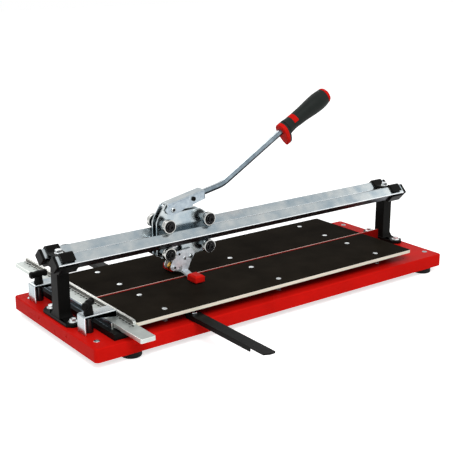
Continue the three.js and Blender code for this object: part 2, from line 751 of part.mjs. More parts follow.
// Hexagonal bar with an edge on top, bent once between the bracket and the grip.
function rodBody() {
  const start = [rodBoltX - 26, rodAt(rodBoltX - 26)];
  const bendIn = [bendAt[0] - 14, rodAt(bendAt[0] - 14)];
  const along = (distance) => [
    bendAt[0] + distance * Math.cos(HANDLE_SLOPE),
    bendAt[1] + distance * Math.sin(HANDLE_SLOPE),
  ];
  const end = along(ROD_TO_GRIP + ROD_IN_GRIP);
  const to3 = ([x, z]) => new THREE.Vector3(x, 0, z);
  const bend = new THREE.QuadraticBezierCurve3(to3(bendIn), to3(bendAt), to3(along(14)));
  const inner = hexagon(0, 0, ROD_SIDE, Math.PI / 2);
  const run = (curve, steps) => solid(new THREE.ExtrudeGeometry(shapeOf(inner), {
    steps,
    bevelEnabled: false,
    extrudePath: curve,
  }));
  const bar = joined(
    run(new THREE.LineCurve3(to3(start), to3(bendIn)), 1),
    run(bend, 5),
    run(new THREE.LineCurve3(to3(along(14)), to3(end)), 1),
  );
  return cut(bar, alongY(circle(rodBoltX, rodAt(rodBoltX), LINK_PIN + PIN_PLAY), -60, 60, 6));
}

// Grip pieces are made about Z, from the guard's front face up, with X on the underside.
const GUARD = 16;
const GUARD_RADIUS = 18.5;
const GUARD_DROP = 40; // how far the finger guard hangs below the bar
const LINER_RADIUS = 12;
const CAP_LENGTH = 12;

function gripCoreBody() {
  const round = 2.5;
  const lobe = GUARD_RADIUS * 0.7;
  const guard = new THREE.Shape();
  guard.absarc(0, 0, GUARD_RADIUS, Math.PI * 0.36, Math.PI * 1.64);
  guard.lineTo(GUARD_DROP - lobe, -lobe);
  guard.absarc(GUARD_DROP - lobe, 0, lobe, -Math.PI * 0.5, Math.PI * 0.5);
  const flange = solid(new THREE.ExtrudeGeometry(guard, {
    depth: GUARD - 2 * round,
    bevelThickness: round,
    bevelSize: round,
    bevelOffset: -round,
    bevelSegments: 1,
    curveSegments: 7,
  }).translate(0, 0, round));
  const groove = alongY(circle(GUARD_DROP + 2, GUARD / 2, 4.5), -30, 30, 6);
  const liner = alongZ(circle(0, 0, LINER_RADIUS), 1, GRIP_LENGTH - CAP_LENGTH / 2, 8);
  const cap = turned([
    [0, GRIP_LENGTH - CAP_LENGTH], [19.6, GRIP_LENGTH - CAP_LENGTH], [17.8, GRIP_LENGTH - 6],
    [12.5, GRIP_LENGTH - 2], [0, GRIP_LENGTH],
  ], 22);
  const droop = THREE.MathUtils.radToDeg(HANDLE_SLOPE - GRIP_SLOPE);
  const bore = alongZ(circle(0, 0, ROD_SIDE + 2 * GAP), -1, ROD_IN_GRIP + 2, 8).rotate([0, -droop, 0]);
  return cut(joined(cut(flange, groove), liner, cap), bore);
}

function gripSleeveBody() {
  const inner = LINER_RADIUS + GAP;
  const from = GUARD + GAP;
  const to = GRIP_LENGTH - CAP_LENGTH - GAP;
  const outside = [
    [GUARD_RADIUS, from], [17, from + 19], [16, from + 20], [16, from + 33], [17.6, from + 34],
    [18.2, from + 50], [20.6, from + 80], [22.2, from + 110], [19.6, to],
  ];
  return turned([[inner, from], ...outside, [inner, to], [inner, from]], 24);
}

piece("handle_bracket", bracketBody(), ZINC);
piece("handle_rod", rodBody(), ZINC);
const handlePin = pinBody(HANDLE_PIN, BRACKET_WIDTH / 2 + GAP, 6.2, 2.4);
piece("handle_pivot", handlePin, STEEL).position.set(pivot[0], 0, pivot[1]);
const rodBolt = pinBody(LINK_PIN, BRACKET_WIDTH / 2 + GAP, 5.2, 3);
piece("rod_bolt", rodBolt, BLACK_PAINT).position.set(rodBoltX, 0, rodAt(rodBoltX));
const grip = new THREE.Group();
grip.position.set(gripAt[0], 0, gripAt[1]);
grip.rotation.y = Math.PI / 2 - GRIP_SLOPE;
cutter.add(grip);
piece("grip_core", gripCoreBody(), RED_PLASTIC, grip);
piece("grip_sleeve", gripSleeveBody(), BLACK_PLASTIC, grip);

// ---- Scoring arm, wheel, push link, breaker -----------------------------------------------------

function scoringArmBody() {
  const [wx, wz] = wheelAt;
  const [ax, az] = armAt;
  const [sx, sz] = spacerAt;
  const outline = [
    [wx - 8.5, wz + 2], [wx - 7, wz - 5], [wx - 1, wz - 8.5], [wx + 6, wz - 6], [ax - 2, az - 8.5],
    [ax + 6.5, az - 3], [ax + 11, az + 6], [ax + 4, az + 18], [ax - 1, az + 20.5], [sx - 6, sz + 6.5],
    [sx - 8, sz],
  ];
  const half = LINK_THICKNESS;
  const plate = alongY(outline, armFace, armFace + ARM_SHEET);
  const hole = alongY(circle(ax, az, ARM_PIN + PIN_PLAY), 0, 60, 7);
  const side = cut(plate, hole);
  const spacer = alongY(circle(sx, sz, ARM_PIN), -armFace - 1, armFace + 1, 7);
  const axle = alongY(circle(wx, wz, LINK_PIN), -armFace - ARM_SHEET - 2, armFace + ARM_SHEET + 2, 7);
  const heads = [-1, 1].flatMap((y) => [[wx, wz, 4.8], [sx, sz, 4.6]].map(([x, z, radius]) => {
    const face = armFace + ARM_SHEET;
    return alongY(circle(x, z, radius), y > 0 ? face - 1 : -face - half / 2, y > 0 ? face + half / 2 : -face + 1, 7);
  }));
  return joined(side, mirroredY(side), spacer, axle, ...heads);
}

function wheelBody() {
  const bore = LINK_PIN + PIN_PLAY;
  return turned([
    [bore, -3.4], [5, -3.4], [WHEEL_RADIUS - 2.4, -1.4], [WHEEL_RADIUS, 0],
    [WHEEL_RADIUS - 2.4, 1.4], [5, 3.4], [bore, 3.4], [bore, -3.4],
  ], 20).rotate([90, 0, 0]);
}

function linkBody() {
  const half = LINK_THICKNESS / 2;
  const bar = alongY(linkOutline(linkAt, spacerAt, LINK_WIDTH / 2), -half, half, 8);
  const eye = alongY(circle(spacerAt[0], spacerAt[1], ARM_PIN + 4), -half, half, 8);
  return cut(
    joined(bar, eye),
    alongY(circle(linkAt[0], linkAt[1], LINK_PIN + PIN_PLAY), -half - 1, half + 1, 6),
    alongY(circle(spacerAt[0], spacerAt[1], ARM_PIN + 1.6), -half - 1, half + 1, 7),
  );
}

const padUnder = TABLE_TOP + PAD_CLEAR;
const breakerX = CARRIAGE_X + 4.5;
const barAt = (y) => TABLE_TOP + BAR_CROWN - (y - BAR_FLAT) * Math.tan(BAR_SLOPE);
const barEnd = PAD_SPREAD - PAD_Y / 2 + BAR_IN_PAD;

function breakerBarBody(end, play) {
  const half = BAR_WIDTH / 2 + play;
  const top = [[-end, barAt(end)], [-BAR_FLAT, barAt(BAR_FLAT)], [BAR_FLAT, barAt(BAR_FLAT)], [end, barAt(end)]];
  const under = top.map(([y, z]) => [y, z - BAR_SHEET - play]).reverse();
  const shape = [...top.map(([y, z]) => [y, z + play]), ...under].reverse();
  return alongX(shape, breakerX - half, breakerX + half);
}

function breakerBody() {
  const [ax, az] = armAt;
  const half = plateInner - 1.1;
  const left = breakerX - BAR_WIDTH / 2;
  const foot = barAt(BAR_FLAT) - 1;
  const stem = alongY(
    [[left, foot], [left + BAR_WIDTH, foot], [ax + 10, az - 8], [ax + 10, az + 9],
      [ax - 10, az + 9], [ax - 11, az - 10], [left, foot + 10]],
    -half,
    half,
  );
  const low = [ax, az - BREAKER_TRAVEL - 1];
  const high = [ax, az + 0.6];
  const slot = alongY(linkOutline(low, high, ARM_PIN + PIN_PLAY), -half - 1, half + 1, 7);
  return cut(joined(breakerBarBody(barEnd, 0), stem), slot);
}

function padBody() {
  const low = padUnder;
  const high = padUnder + PAD_Z;
  const cornered = (middle, half) => [
    [middle - half, low + PAD_CHAMFER], [middle - half + PAD_CHAMFER, low],
    [middle + half - PAD_CHAMFER, low], [middle + half, low + PAD_CHAMFER],
    [middle + half, high - PAD_CHAMFER], [middle + half - PAD_CHAMFER, high],
    [middle - half + PAD_CHAMFER, high], [middle - half, high - PAD_CHAMFER],
  ];
  const across = alongX(cornered(PAD_SPREAD, PAD_Y / 2), breakerX - PAD_X / 2, breakerX + PAD_X / 2);
  const along = alongY(cornered(breakerX, PAD_X / 2), PAD_SPREAD - PAD_Y / 2, PAD_SPREAD + PAD_Y / 2);
  return cut(across.intersect(along), breakerBarBody(barEnd + GAP, GAP));
}

piece("scoring_arm", scoringArmBody(), ZINC);
const armPin = pinBody(ARM_PIN, armFace + ARM_SHEET + GAP, 5.4, 2.4);
piece("arm_pivot", armPin, STEEL).position.set(armAt[0], 0, armAt[1]);
piece("scoring_wheel", wheelBody(), GOLD_CARBIDE).position.set(wheelAt[0], 0, wheelAt[1]);
piece("push_link", linkBody(), STEEL);
piece("breaker_bar", breakerBody(), ZINC);
for (const [side, y] of SIDES) {
  piece(`breaker_pad_${side}`, y > 0 ? padBody() : mirroredY(padBody()), RED_PLASTIC);
}

// ---- Ruler, guide, clamps -----------------------------------------------------------------------

function guideBody() {
  const half = trayWidth / 2 - 15;
  const bar = alongZ(
    rectangle(rulerLeft - GUIDE_OVERHANG, rulerRight - 11, -half, half),
    GAP,
    GAP + GUIDE_HEIGHT + 1,
  );
  const floor = GAP + GUIDE_HEIGHT + GUIDE_SHEET / 2;
  const channel = alongY(
    foldedSheet([[rulerRight - 14, floor], [rulerLeft - 3, floor], [rulerLeft - 3, rulerTop]], GUIDE_SHEET),
    -half + 31,
    half,
  );
  return joined(bar, channel);
}

function rulerBody() {
  const bar = alongY(
    rectangle(rulerLeft, rulerRight, rulerUnder, rulerTop),
    rulerFront,
    rulerFront + RULER_LENGTH,
  );
  const fenceFront = -tableOuter + 2;
  const fenceTop = rulerTop + FENCE_HEIGHT;
  const fence = alongX(
    [[fenceFront, rulerTop - 1], [rulerFront + RULER_LENGTH, rulerTop - 1],
      [rulerFront + RULER_LENGTH, fenceTop], [fenceFront + 5, fenceTop], [fenceFront, fenceTop - 3]],
    rulerRight - FENCE_WIDTH,
    rulerRight,
  );
  return joined(bar, fence);
}

function rulerClampBody() {
  const half = RULER_CLAMP_SHEET / 2;
  const heel = -trayLength / 2 + 16 + half;
  const lip = rulerRight - FENCE_WIDTH - 5;
  const path = [
    [heel, GAP],
    [heel, RULER_CLAMP_HEIGHT - half],
    [lip, RULER_CLAMP_HEIGHT - half],
    [lip, rulerTop + GAP],
  ];
  const sheet = alongY(foldedSheet(path, RULER_CLAMP_SHEET), -RULER_CLAMP_WIDTH / 2, RULER_CLAMP_WIDTH / 2);
  return cut(sheet, alongZ(circle(studX, 0, STUD_RADIUS + 2 * PIN_PLAY), 20, 60, 6));
}

function knobBody() {
  const bottom = RULER_CLAMP_HEIGHT + GAP;
  const wing = alongX(
    [[-5, bottom + 12], [5, bottom + 12], [7, bottom + 16], [6.4, bottom + 26], [3.5, bottom + 28.5],
      [-3.5, bottom + 28.5], [-6.4, bottom + 26], [-7, bottom + 16]],
    -KNOB_REACH,
    KNOB_REACH,
  ).intersect(alongY(
    [[10 - KNOB_REACH, bottom + 11], [KNOB_REACH - 10, bottom + 11], [KNOB_REACH, bottom + 15],
      [KNOB_REACH, bottom + 26], [KNOB_REACH - 3, bottom + 29], [3 - KNOB_REACH, bottom + 29],
      [-KNOB_REACH, bottom + 26], [-KNOB_REACH, bottom + 15]],
    -20,
    20,
  ));
  const neck = turned([
    [0, bottom], [10.5, bottom], [10.5, bottom + 3], [9, bottom + 5], [9, bottom + 15],
    [0, bottom + 15],
  ], 20);
  const bore = alongZ(circle(0, 0, STUD_RADIUS + PIN_PLAY), bottom - 1, STUD_TOP + GAP, 6);
  return cut(joined(wing, neck), bore);
}

piece("ruler_guide", guideBody(), BLACK_PAINT);
piece("ruler", rulerBody(), ALUMINIUM);
SIDES.forEach(([side], i) => {
  piece(`ruler_clamp_${side}`, rulerClampBody(), ZINC).position.y = BRACKET_FEET[i];
  const knob = piece(`ruler_knob_${side}`, knobBody(), BLACK_PLASTIC);
  knob.position.set(studX, BRACKET_FEET[i], 0);
  knob.rotation.z = THREE.MathUtils.degToRad(KNOB_TURN[i]);
});

// ---- Folding support arms -----------------------------------------------------------------------

function supportArmBody() {
  const half = ARM_WIDTH / 2;
  const tip = -ARM_LENGTH + half;
  const flat = alongZ(
    [[-half, half - 4], [-half + 4, half], [half - 4, half], [half, half - 4], [half, tip + 3],
      [half - 3, tip], [-half + 12, tip], [-half, tip + 6]],
    ARM_TOP - SUPPORT_SHEET,
    ARM_TOP,
  );
  const flange = alongZ(
    rectangle(-half, -half + SUPPORT_SHEET, tip + ARM_FLANGE_STOP, half - 4),
    2,
    ARM_TOP,
  );
  const hole = alongZ(circle(0, 0, ARM_PIN + PIN_PLAY), 0, 40, 7);
  return cut(joined(flat, flange), hole);
}

for (const [side, y] of SIDES) {
  const arm = y < 0 ? supportArmBody() : mirroredY(supportArmBody());
  piece(`support_arm_${side}`, arm, BLACK_PAINT).position.set(ARM_ROOT_X, y * armRootY, 0);
}

// ---- Stand the cutter on its feet, centred ------------------------------------------------------

const extent = new THREE.Box3().setFromObject(cutter, true);
const middle = extent.getCenter(new THREE.Vector3());
cutter.position.set(-middle.x, -middle.y, -extent.min.z);

export default cutter;
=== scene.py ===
"""Manual rail tile cutter: finished pieces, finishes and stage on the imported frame."""

import json
import math

import bmesh
import bpy
from bpy.props import FloatProperty, FloatVectorProperty, IntProperty, PointerProperty
from mathutils import Matrix, Vector

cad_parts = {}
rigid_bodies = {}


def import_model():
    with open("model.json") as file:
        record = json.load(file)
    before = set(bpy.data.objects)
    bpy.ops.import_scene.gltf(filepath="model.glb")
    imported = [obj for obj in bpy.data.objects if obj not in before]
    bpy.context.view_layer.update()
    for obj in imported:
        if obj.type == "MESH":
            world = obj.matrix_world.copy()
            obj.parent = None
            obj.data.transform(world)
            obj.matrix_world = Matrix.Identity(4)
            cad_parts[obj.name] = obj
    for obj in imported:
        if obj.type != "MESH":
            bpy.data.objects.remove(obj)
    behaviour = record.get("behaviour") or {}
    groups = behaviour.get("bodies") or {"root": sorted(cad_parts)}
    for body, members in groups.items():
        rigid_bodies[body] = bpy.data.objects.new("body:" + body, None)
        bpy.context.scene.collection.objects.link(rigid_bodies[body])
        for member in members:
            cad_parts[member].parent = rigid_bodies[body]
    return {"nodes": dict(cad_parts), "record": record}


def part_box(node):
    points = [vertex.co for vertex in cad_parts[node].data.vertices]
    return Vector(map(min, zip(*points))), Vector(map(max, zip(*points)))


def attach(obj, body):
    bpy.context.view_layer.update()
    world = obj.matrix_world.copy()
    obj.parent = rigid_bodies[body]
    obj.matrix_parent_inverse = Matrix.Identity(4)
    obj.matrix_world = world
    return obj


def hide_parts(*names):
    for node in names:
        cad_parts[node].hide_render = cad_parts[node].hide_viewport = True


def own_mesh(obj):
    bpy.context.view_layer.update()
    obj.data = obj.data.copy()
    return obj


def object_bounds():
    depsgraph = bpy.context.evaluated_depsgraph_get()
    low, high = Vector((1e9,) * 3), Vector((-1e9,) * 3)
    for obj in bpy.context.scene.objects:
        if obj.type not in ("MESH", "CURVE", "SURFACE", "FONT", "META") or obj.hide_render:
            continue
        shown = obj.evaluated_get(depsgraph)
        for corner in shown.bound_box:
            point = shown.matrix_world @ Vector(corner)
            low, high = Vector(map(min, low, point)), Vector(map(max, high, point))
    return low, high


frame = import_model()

bl_info = {
    "name": "Rail tile cutter",
    "version": (1, 0, 0),
    "blender": (4, 5, 0),
    "location": "View3D > Sidebar > Tile cutter",
    "description": "Builds a manual rail tile cutter piece by piece on its packed frame",
    "category": "Object",
}

CAD_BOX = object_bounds()
MM = 0.001

# Every place below is in millimetres from the middle of the tray's top face.
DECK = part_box("column_left")[0].z - 0.3 * MM
TRAY_MIDDLE = (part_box("base_tray")[0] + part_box("base_tray")[1]) / 2

BODY_OF = {
    node: body
    for body, members in frame["record"]["behaviour"]["bodies"].items()
    for node in members
}
SLOT_OF = {entry["node"]: entry["material_slot"] for entry in frame["record"]["subparts"]}


def place(x, y, z):
    return Vector((TRAY_MIDDLE.x + x * MM, TRAY_MIDDLE.y + y * MM, DECK + z * MM))


def middle_mm(node):
    """A CAD node's middle, in millimetres from the tray's top face."""
    low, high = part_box(node)
    x, y, z = (low + high) / 2
    return Vector(((x - TRAY_MIDDLE.x) / MM, (y - TRAY_MIDDLE.y) / MM, (z - DECK) / MM))


def box_mm(node):
    """A CAD node's corners, in millimetres from the tray's top face."""
    low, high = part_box(node)
    offset = Vector((TRAY_MIDDLE.x, TRAY_MIDDLE.y, DECK))
    return (low - offset) / MM, (high - offset) / MM


def half_mm(node):
    """Half of a CAD node's size each way, in millimetres."""
    return [(high - low) / 2 for low, high in zip(*box_mm(node))]


def linear(red, green, blue):
    """A colour written as 0 to 255 screen values, as the shaders take it."""

    def channel(value):
        value = value / 255
        return value / 12.92 if value <= 0.04045 else ((value + 0.055) / 1.055) ** 2.4

    return (channel(red), channel(green), channel(blue))


# ---- Settings -----------------------------------------------------------------------------------


def colour(name, description, red, green, blue):
    return FloatVectorProperty(
        name=name,
        description=description,
        subtype="COLOR",
        size=3,
        min=0.0,
        max=1.0,
        default=linear(red, green, blue),
    )


def length(name, description, millimetres):
    return FloatProperty(
        name=name,
        description=description,
        default=millimetres * MM,
        min=0.0,
        unit="LENGTH",
        precision=5,
    )


def number(name, description, default, **limits):
    return FloatProperty(name=name, description=description, default=default, **limits)


class TILECUTTER_PG_finishes(bpy.types.PropertyGroup):
    tray_red: colour("Tray red", "Powder coat of the tray and ridge", 204, 22, 16)
    plastic_red: colour("Plastic red", "Grip ends and breaker pads", 198, 26, 20)
    coat_black: colour("Coat black", "Powder coat of columns, clamps and arms", 15, 15, 14)
    plastic_black: colour("Plastic black", "Knobs and rail caps", 14, 14, 13)
    rubber_black: colour("Sleeve black", "Soft grip sleeve", 34, 38, 36)
    zinc_dark: colour("Zinc, dark", "Dull patches of the zinc plate", 150, 164, 172)
    zinc_light: colour("Zinc, light", "Bright patches of the zinc plate", 190, 195, 195)
    film: colour("Table film", "Phenolic film on the tables", 33, 29, 24)
    board_edge: colour("Board edge", "Sealed edge of the tables", 238, 232, 214)
    aluminium: colour("Aluminium", "Anodised ruler", 196, 202, 198)
    gold: colour("Wheel coating", "Hard coating of the scoring wheel", 224, 178, 92)


class TILECUTTER_PG_details(bpy.types.PropertyGroup):
    edge_softness: length("Edge softness", "Rounding of pressed and moulded edges", 0.5)
    screw_radius: length("Table screw radius", "Flush screws in the tables", 5.8)
    spring_turns: number("Spring turns", "Turns of each table spring", 5.0, min=1.0)
    spring_wire: length("Spring wire", "Wire radius of the table springs", 0.8)
    tick_pitch: length("Tick pitch", "Distance between ruler ticks, an eighth of an inch", 3.175)
    turned_steps: IntProperty(
        name="Turned steps", description="Steps round a turned piece", default=56, min=12
    )


class TILECUTTER_PG_stage(bpy.types.PropertyGroup):
    camera_azimuth: number(
        "Camera azimuth",
        "Turn of the view to the right of straight on",
        math.radians(36.7),
        subtype="ANGLE",
    )
    camera_drop: number(
        "Camera drop", "How far the view looks down", math.radians(16.7), subtype="ANGLE"
    )
    focal_length: number("Focal length", "Lens on a 36 mm sensor", 75.9, min=10.0)
    key_power: number("Key light", "Power of the large soft light", 62.0, unit="POWER")
    fill_power: number("Fill light", "Power of the back light", 16.0, unit="POWER")
    sky_level: number("Sky level", "Brightness of the surrounding studio", 0.5)
    floor_glow: number("Floor glow", "White added where the floor is seen", 0.68)


def finishes():
    return bpy.context.scene.tile_cutter_finishes


def details():
    return bpy.context.scene.tile_cutter_details


# ---- Finishes -----------------------------------------------------------------------------------


EVEN = (1.0, 1.0, 1.0)
NOISE_SPAN = (0.3, 0.7)  # the part of a noise's values that is stretched over a whole range
BRUSHED = ((206, 214, 220), (236, 240, 243), 0.5, 0.62, 8, (1.0, 1.0, 0.1))


def fed(tree, node, inputs):
    """Gives inputs plain values or the outputs of other nodes."""
    for key, value in inputs.items():
        if isinstance(value, bpy.types.NodeSocket):
            tree.links.new(value, node.inputs[key])
        else:
            node.inputs[key].default_value = value
    return node


def added(tree, kind, inputs=None, **settings):
    """A new node, with its settings made before its inputs are fed."""
    node = tree.nodes.new(kind)
    for name, value in settings.items():
        setattr(node, name, value)
    return fed(tree, node, inputs or {})


def fresh_finish(name):
    material = bpy.data.materials.new(name)
    material.use_nodes = True
    return material, material.node_tree, material.node_tree.nodes["Principled BSDF"]


def grain(tree, size, detail, stretch=EVEN):
    """Noise with features of about that size in millimetres, drawn out where stretch is small."""
    spots = added(tree, "ShaderNodeTexCoord").outputs["Object"]
    mapped = added(tree, "ShaderNodeMapping", {"Vector": spots, "Scale": stretch}).outputs["Vector"]
    noise = {"Vector": mapped, "Scale": 1.0 / (size * MM), "Detail": detail}
    return added(tree, "ShaderNodeTexNoise", noise).outputs["Fac"]


def spread(tree, factor, low, high):
    start, stop = NOISE_SPAN
    span = {"From Min": start, "From Max": stop, "To Min": low, "To Max": high, "Value": factor}
    return added(tree, "ShaderNodeMapRange", span).outputs["Result"]


def tinted(tree, factor, dark, light):
    tints = {"A": (*dark, 1.0), "B": (*light, 1.0), "Factor": spread(tree, factor, 0.0, 1.0)}
    return added(tree, "ShaderNodeMix", tints, data_type="RGBA").outputs["Result"]


def tint_of(colour, level=1.0):
    """A tint named in the settings or given as screen values, darkened or brightened."""
    tint = getattr(finishes(), colour) if isinstance(colour, str) else linear(*colour)
    return tuple(min(channel * level, 1.0) for channel in tint)


def surface(name, tints, patches, rough, marks=None, pores=None, bump=(0.1, 0.4), fixed=None):
    """A material with patches of two tints. Its roughness follows the marks and its relief the
    pores, which are the patches' own noise unless given. Bump is a depth and a strength."""
    material, tree, shader = fresh_finish(name)
    patches = grain(tree, *patches)
    marks = grain(tree, *marks) if marks else patches
    pores = grain(tree, *pores) if pores else marks
    depth, strength = bump
    relief = {"Height": pores, "Distance": depth * MM, "Strength": strength}
    look = {
        "Base Color": tinted(tree, patches, *tints),
        "Roughness": spread(tree, marks, *rough),
        "Normal": added(tree, "ShaderNodeBump", relief).outputs["Normal"],
    }
    fed(tree, shader, look)
    fed(tree, shader, fixed or {})
    return material


def powder_coat(name, tint, low, high, gloss):
    tints = (tint_of(tint, 0.9), tint_of(tint, 1.08))
    fixed = {"Specular IOR Level": gloss}
    return surface(name, tints, (90, 3), (low, high), None, (1.8, 2), (0.12, 0.3), fixed)


def plated(name, dark, light, low, high, patch, stretch=EVEN, metal=1.0, levels=(1.0, 1.0)):
    """Bright metal with patches and fine drawn marks along the stretched direction."""
    tints = (tint_of(dark, levels[0]), tint_of(light, levels[1]))
    marks = (1.1, 3, stretch)
    fixed = {"Metallic": metal}
    return surface(name, tints, (patch, 4), (low, high), marks, None, (0.05, 0.15), fixed)


def moulded(name, tint, low, high, pore=0.9, gloss=0.15):
    tints = (tint_of(tint, 0.88), tint_of(tint, 1.12))
    fixed = {"Specular IOR Level": gloss}
    return surface(name, tints, (40, 2), (low, high), None, (pore, 2), (0.1, 0.4), fixed)


def film_faced(name, tint):
    tints = (tint_of(tint, 0.72), tint_of(tint, 1.2))
    fibres = (2.2, 4, (1.0, 0.25, 1.0))
    fixed = {"Specular IOR Level": 0.001}
    return surface(name, tints, (70, 5), (0.36, 0.48), fibres, None, (0.06, 0.3), fixed)


def sealed_plies(name, tint):
    plies = (1.3, 2, (0.02, 0.02, 1.0))
    tints = (tint_of(tint, 0.8), tint_of(tint, 1.0))
    return surface(name, tints, plies, (0.5, 0.65), None, None, (0.08, 0.4))


# What each maker takes after the material's name: tints, the range of roughness, and its own.
FINISHES = {
    powder_coat: {
        "red_powder_coat": ("red powder coat", "tray_red", 0.26, 0.36, 0.012),
        # painted highlight: a lighter red for the tray's rounded edges
        "red edge painted highlight": ("red powder coat rim", (240, 104, 92), 0.2, 0.3, 0.3),
        # painted shade on the ridge's front flank and a painted highlight on its crest
        "ridge front painted shade": ("red powder coat flank", (132, 16, 12), 0.3, 0.4, 0.01),
        "ridge crest painted highlight": ("red powder coat ridge", (252, 192, 182), 0.2, 0.3, 0.3),
        "black_powder_coat": ("black powder coat", "coat_black", 0.3, 0.42, 0.05),
    },
    plated: {
        "zinc_plated_steel": (
            "zinc plate", "zinc_dark", "zinc_light", 0.16, 0.28, 34, (0.06, 1.0, 1.0)
        ),
        # bright zinc for washers and sheet edges, partly a painted highlight on rounded edges and
        # rail corners
        "bright zinc and painted highlight": ("zinc plate rim", (226, 232, 236), (250, 252, 253), 0.2, 0.3, 9),
        # painted shade: a dark zinc for the lower faces of the rails and the bar
        "rail underside": (
            "rail underside", (46, 50, 56), (74, 80, 88), 0.3, 0.42, 30, (0.06, 1.0, 1.0)
        ),
        "drawn bar": (
            "drawn bar", (108, 122, 132), (142, 156, 164), 0.22, 0.34, 12, (0.05, 1.0, 1.0)
        ),
        # painted highlight: a lighter zinc for the hexagon bar's top flat
        "bar top": (
            "bar top", (168, 178, 184), (196, 204, 208), 0.22, 0.34, 12, (0.05, 1.0, 1.0)
        ),
        # painted shade: a darker zinc for the bracket's cheeks
        "bracket side": ("bracket side", (146, 158, 168), (172, 183, 190), 0.3, 0.42, 6),
        "brushed plate": ("brushed plate", *BRUSHED),
        # painted light: a lighter matt plate for the shaded insides of the clamps
        "matt plate": ("matt plate", *BRUSHED, 0.25),
        "bright screw": ("bright screw plate", (226, 230, 230), (246, 249, 250), 0.3, 0.4, 4),
        "spring_steel": ("spring wire", (150, 154, 158), (206, 208, 210), 0.2, 0.3, 6),
        "turned_steel": (
            "turned steel", (150, 152, 154), (206, 207, 208), 0.2, 0.34, 9, (0.05, 1, 0.05)
        ),
        "polished_steel": (
            "ground steel", (168, 169, 167), (214, 214, 210), 0.12, 0.22, 9, (0.05, 1, 0.05)
        ),
        # bright edges, the fence's top and the channel's front face, partly a painted highlight
        "ruler rim": (
            "ruler rim", (232, 234, 228), (250, 250, 244), 0.25, 0.35, 12, (1, 0.03, 1)
        ),
        # painted shade: a dark grey for the fence's left side
        "ruler groove": (
            "ruler groove", (108, 106, 102), (150, 148, 142), 0.4, 0.5, 5, (1, 0.05, 1)
        ),
        "ruler_aluminium": (
            "anodised aluminium", "aluminium", "aluminium", 0.34, 0.5, 30, (1, 0.03, 1), 1.0,
            (0.86, 1.06),
        ),
        "coated_carbide": (
            "gold coated carbide", "gold", "gold", 0.2, 0.32, 3, EVEN, 1.0, (0.82, 1.08)
        ),
    },
    moulded: {
        "black_plastic": ("black plastic", "plastic_black", 0.34, 0.48, 0.9, 0.05),
        "red_plastic": ("red plastic", "plastic_red", 0.3, 0.42, 0.9, 0.02),
        "grip rubber": ("grip rubber", "rubber_black", 0.4, 0.52, 0.9, 0.08),
        "glossy black": ("glossy black sleeve", (16, 17, 18), 0.16, 0.26, 1.2, 0.5),
        "foot_rubber": ("foot rubber", (24, 24, 25), 0.6, 0.8, 1.6),
        # black steel for screws and axle ends, also used as painted shade at the bracket's end and
        # in a pin's recess
        "socket": ("oiled black steel", (16, 16, 17), 0.3, 0.4),
        "ink": ("ruler ink", (24, 24, 26), 0.5, 0.6, 0.4, 0.0),
    },
    film_faced: {"table_board": ("phenolic film", "film")},
    sealed_plies: {"board edge": ("sealed board edge", "board_edge")},
}
MAKER_OF = {slot: maker for maker, looks in FINISHES.items() for slot in looks}
made_finishes = {}


def finish(slot):
    if slot not in made_finishes:
        maker = MAKER_OF[slot]
        made_finishes[slot] = maker(*FINISHES[maker][slot])
    return made_finishes[slot]


# ---- Making pieces ------------------------------------------------------------------------------


def plain_mesh(piece):
    """The evaluated shape as the piece's own mesh, with no modifiers left."""
    graph = bpy.context.evaluated_depsgraph_get()
    mesh = bpy.data.meshes.new_from_object(piece.evaluated_get(graph))
    piece.modifiers.clear()
    piece.data = mesh
    mesh.name = piece.name


def smoothed(mesh, sharp):
    mesh.shade_smooth()
    mesh.set_sharp_from_angle(angle=math.radians(sharp))


def shown(name, bm, body, slot, materials=None, sharp=35, nodes=()):
    """Turns the bmesh into a finished piece on its body, standing for the CAD nodes named."""
    mesh = bpy.data.meshes.new(name)
    bm.to_mesh(mesh)
    bm.free()
    piece = bpy.data.objects.new(name, mesh)
    bpy.context.scene.collection.objects.link(piece)
    for material in materials or [finish(slot)]:
        mesh.materials.append(material)
    smoothed(mesh, sharp)
    weighted = piece.modifiers.new("face weight", "WEIGHTED_NORMAL")
    weighted.keep_sharp = True
    plain_mesh(piece)
    return on_body(piece, body, nodes)


def on_body(piece, body, nodes=()):
    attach(piece, body)
    if nodes:
        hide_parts(*nodes)
    return piece


def solid_copy(node):
    """A CAD node's shape with its loose triangles joined and its flat faces whole."""
    bm = bmesh.new()
    bm.from_mesh(frame["nodes"][node].data)
    bmesh.ops.remove_doubles(bm, verts=bm.verts, dist=0.002 * MM)
    bmesh.ops.dissolve_limit(
        bm, angle_limit=math.radians(0.4), verts=bm.verts, edges=bm.edges, delimit=set()
    )
    return bm


def edge_angle(edge):
    return edge.calc_face_angle(0.0) if len(edge.link_faces) == 2 else 0.0


def softened(bm, width, segments, limit, chosen=None, index=-1):
    """Rounds the edges that are sharper than the limit, or only those that chosen accepts."""
    edges = [
        edge
        for edge in bm.edges
        if edge_angle(edge) > math.radians(limit) and (chosen is None or chosen(edge))
    ]
    bmesh.ops.bevel(
        bm,
        geom=edges,
        offset=width * MM,
        offset_type="OFFSET",
        segments=segments,
        profile=0.5,
        affect="EDGES",
        clamp_overlap=True,
        material=index,
    )


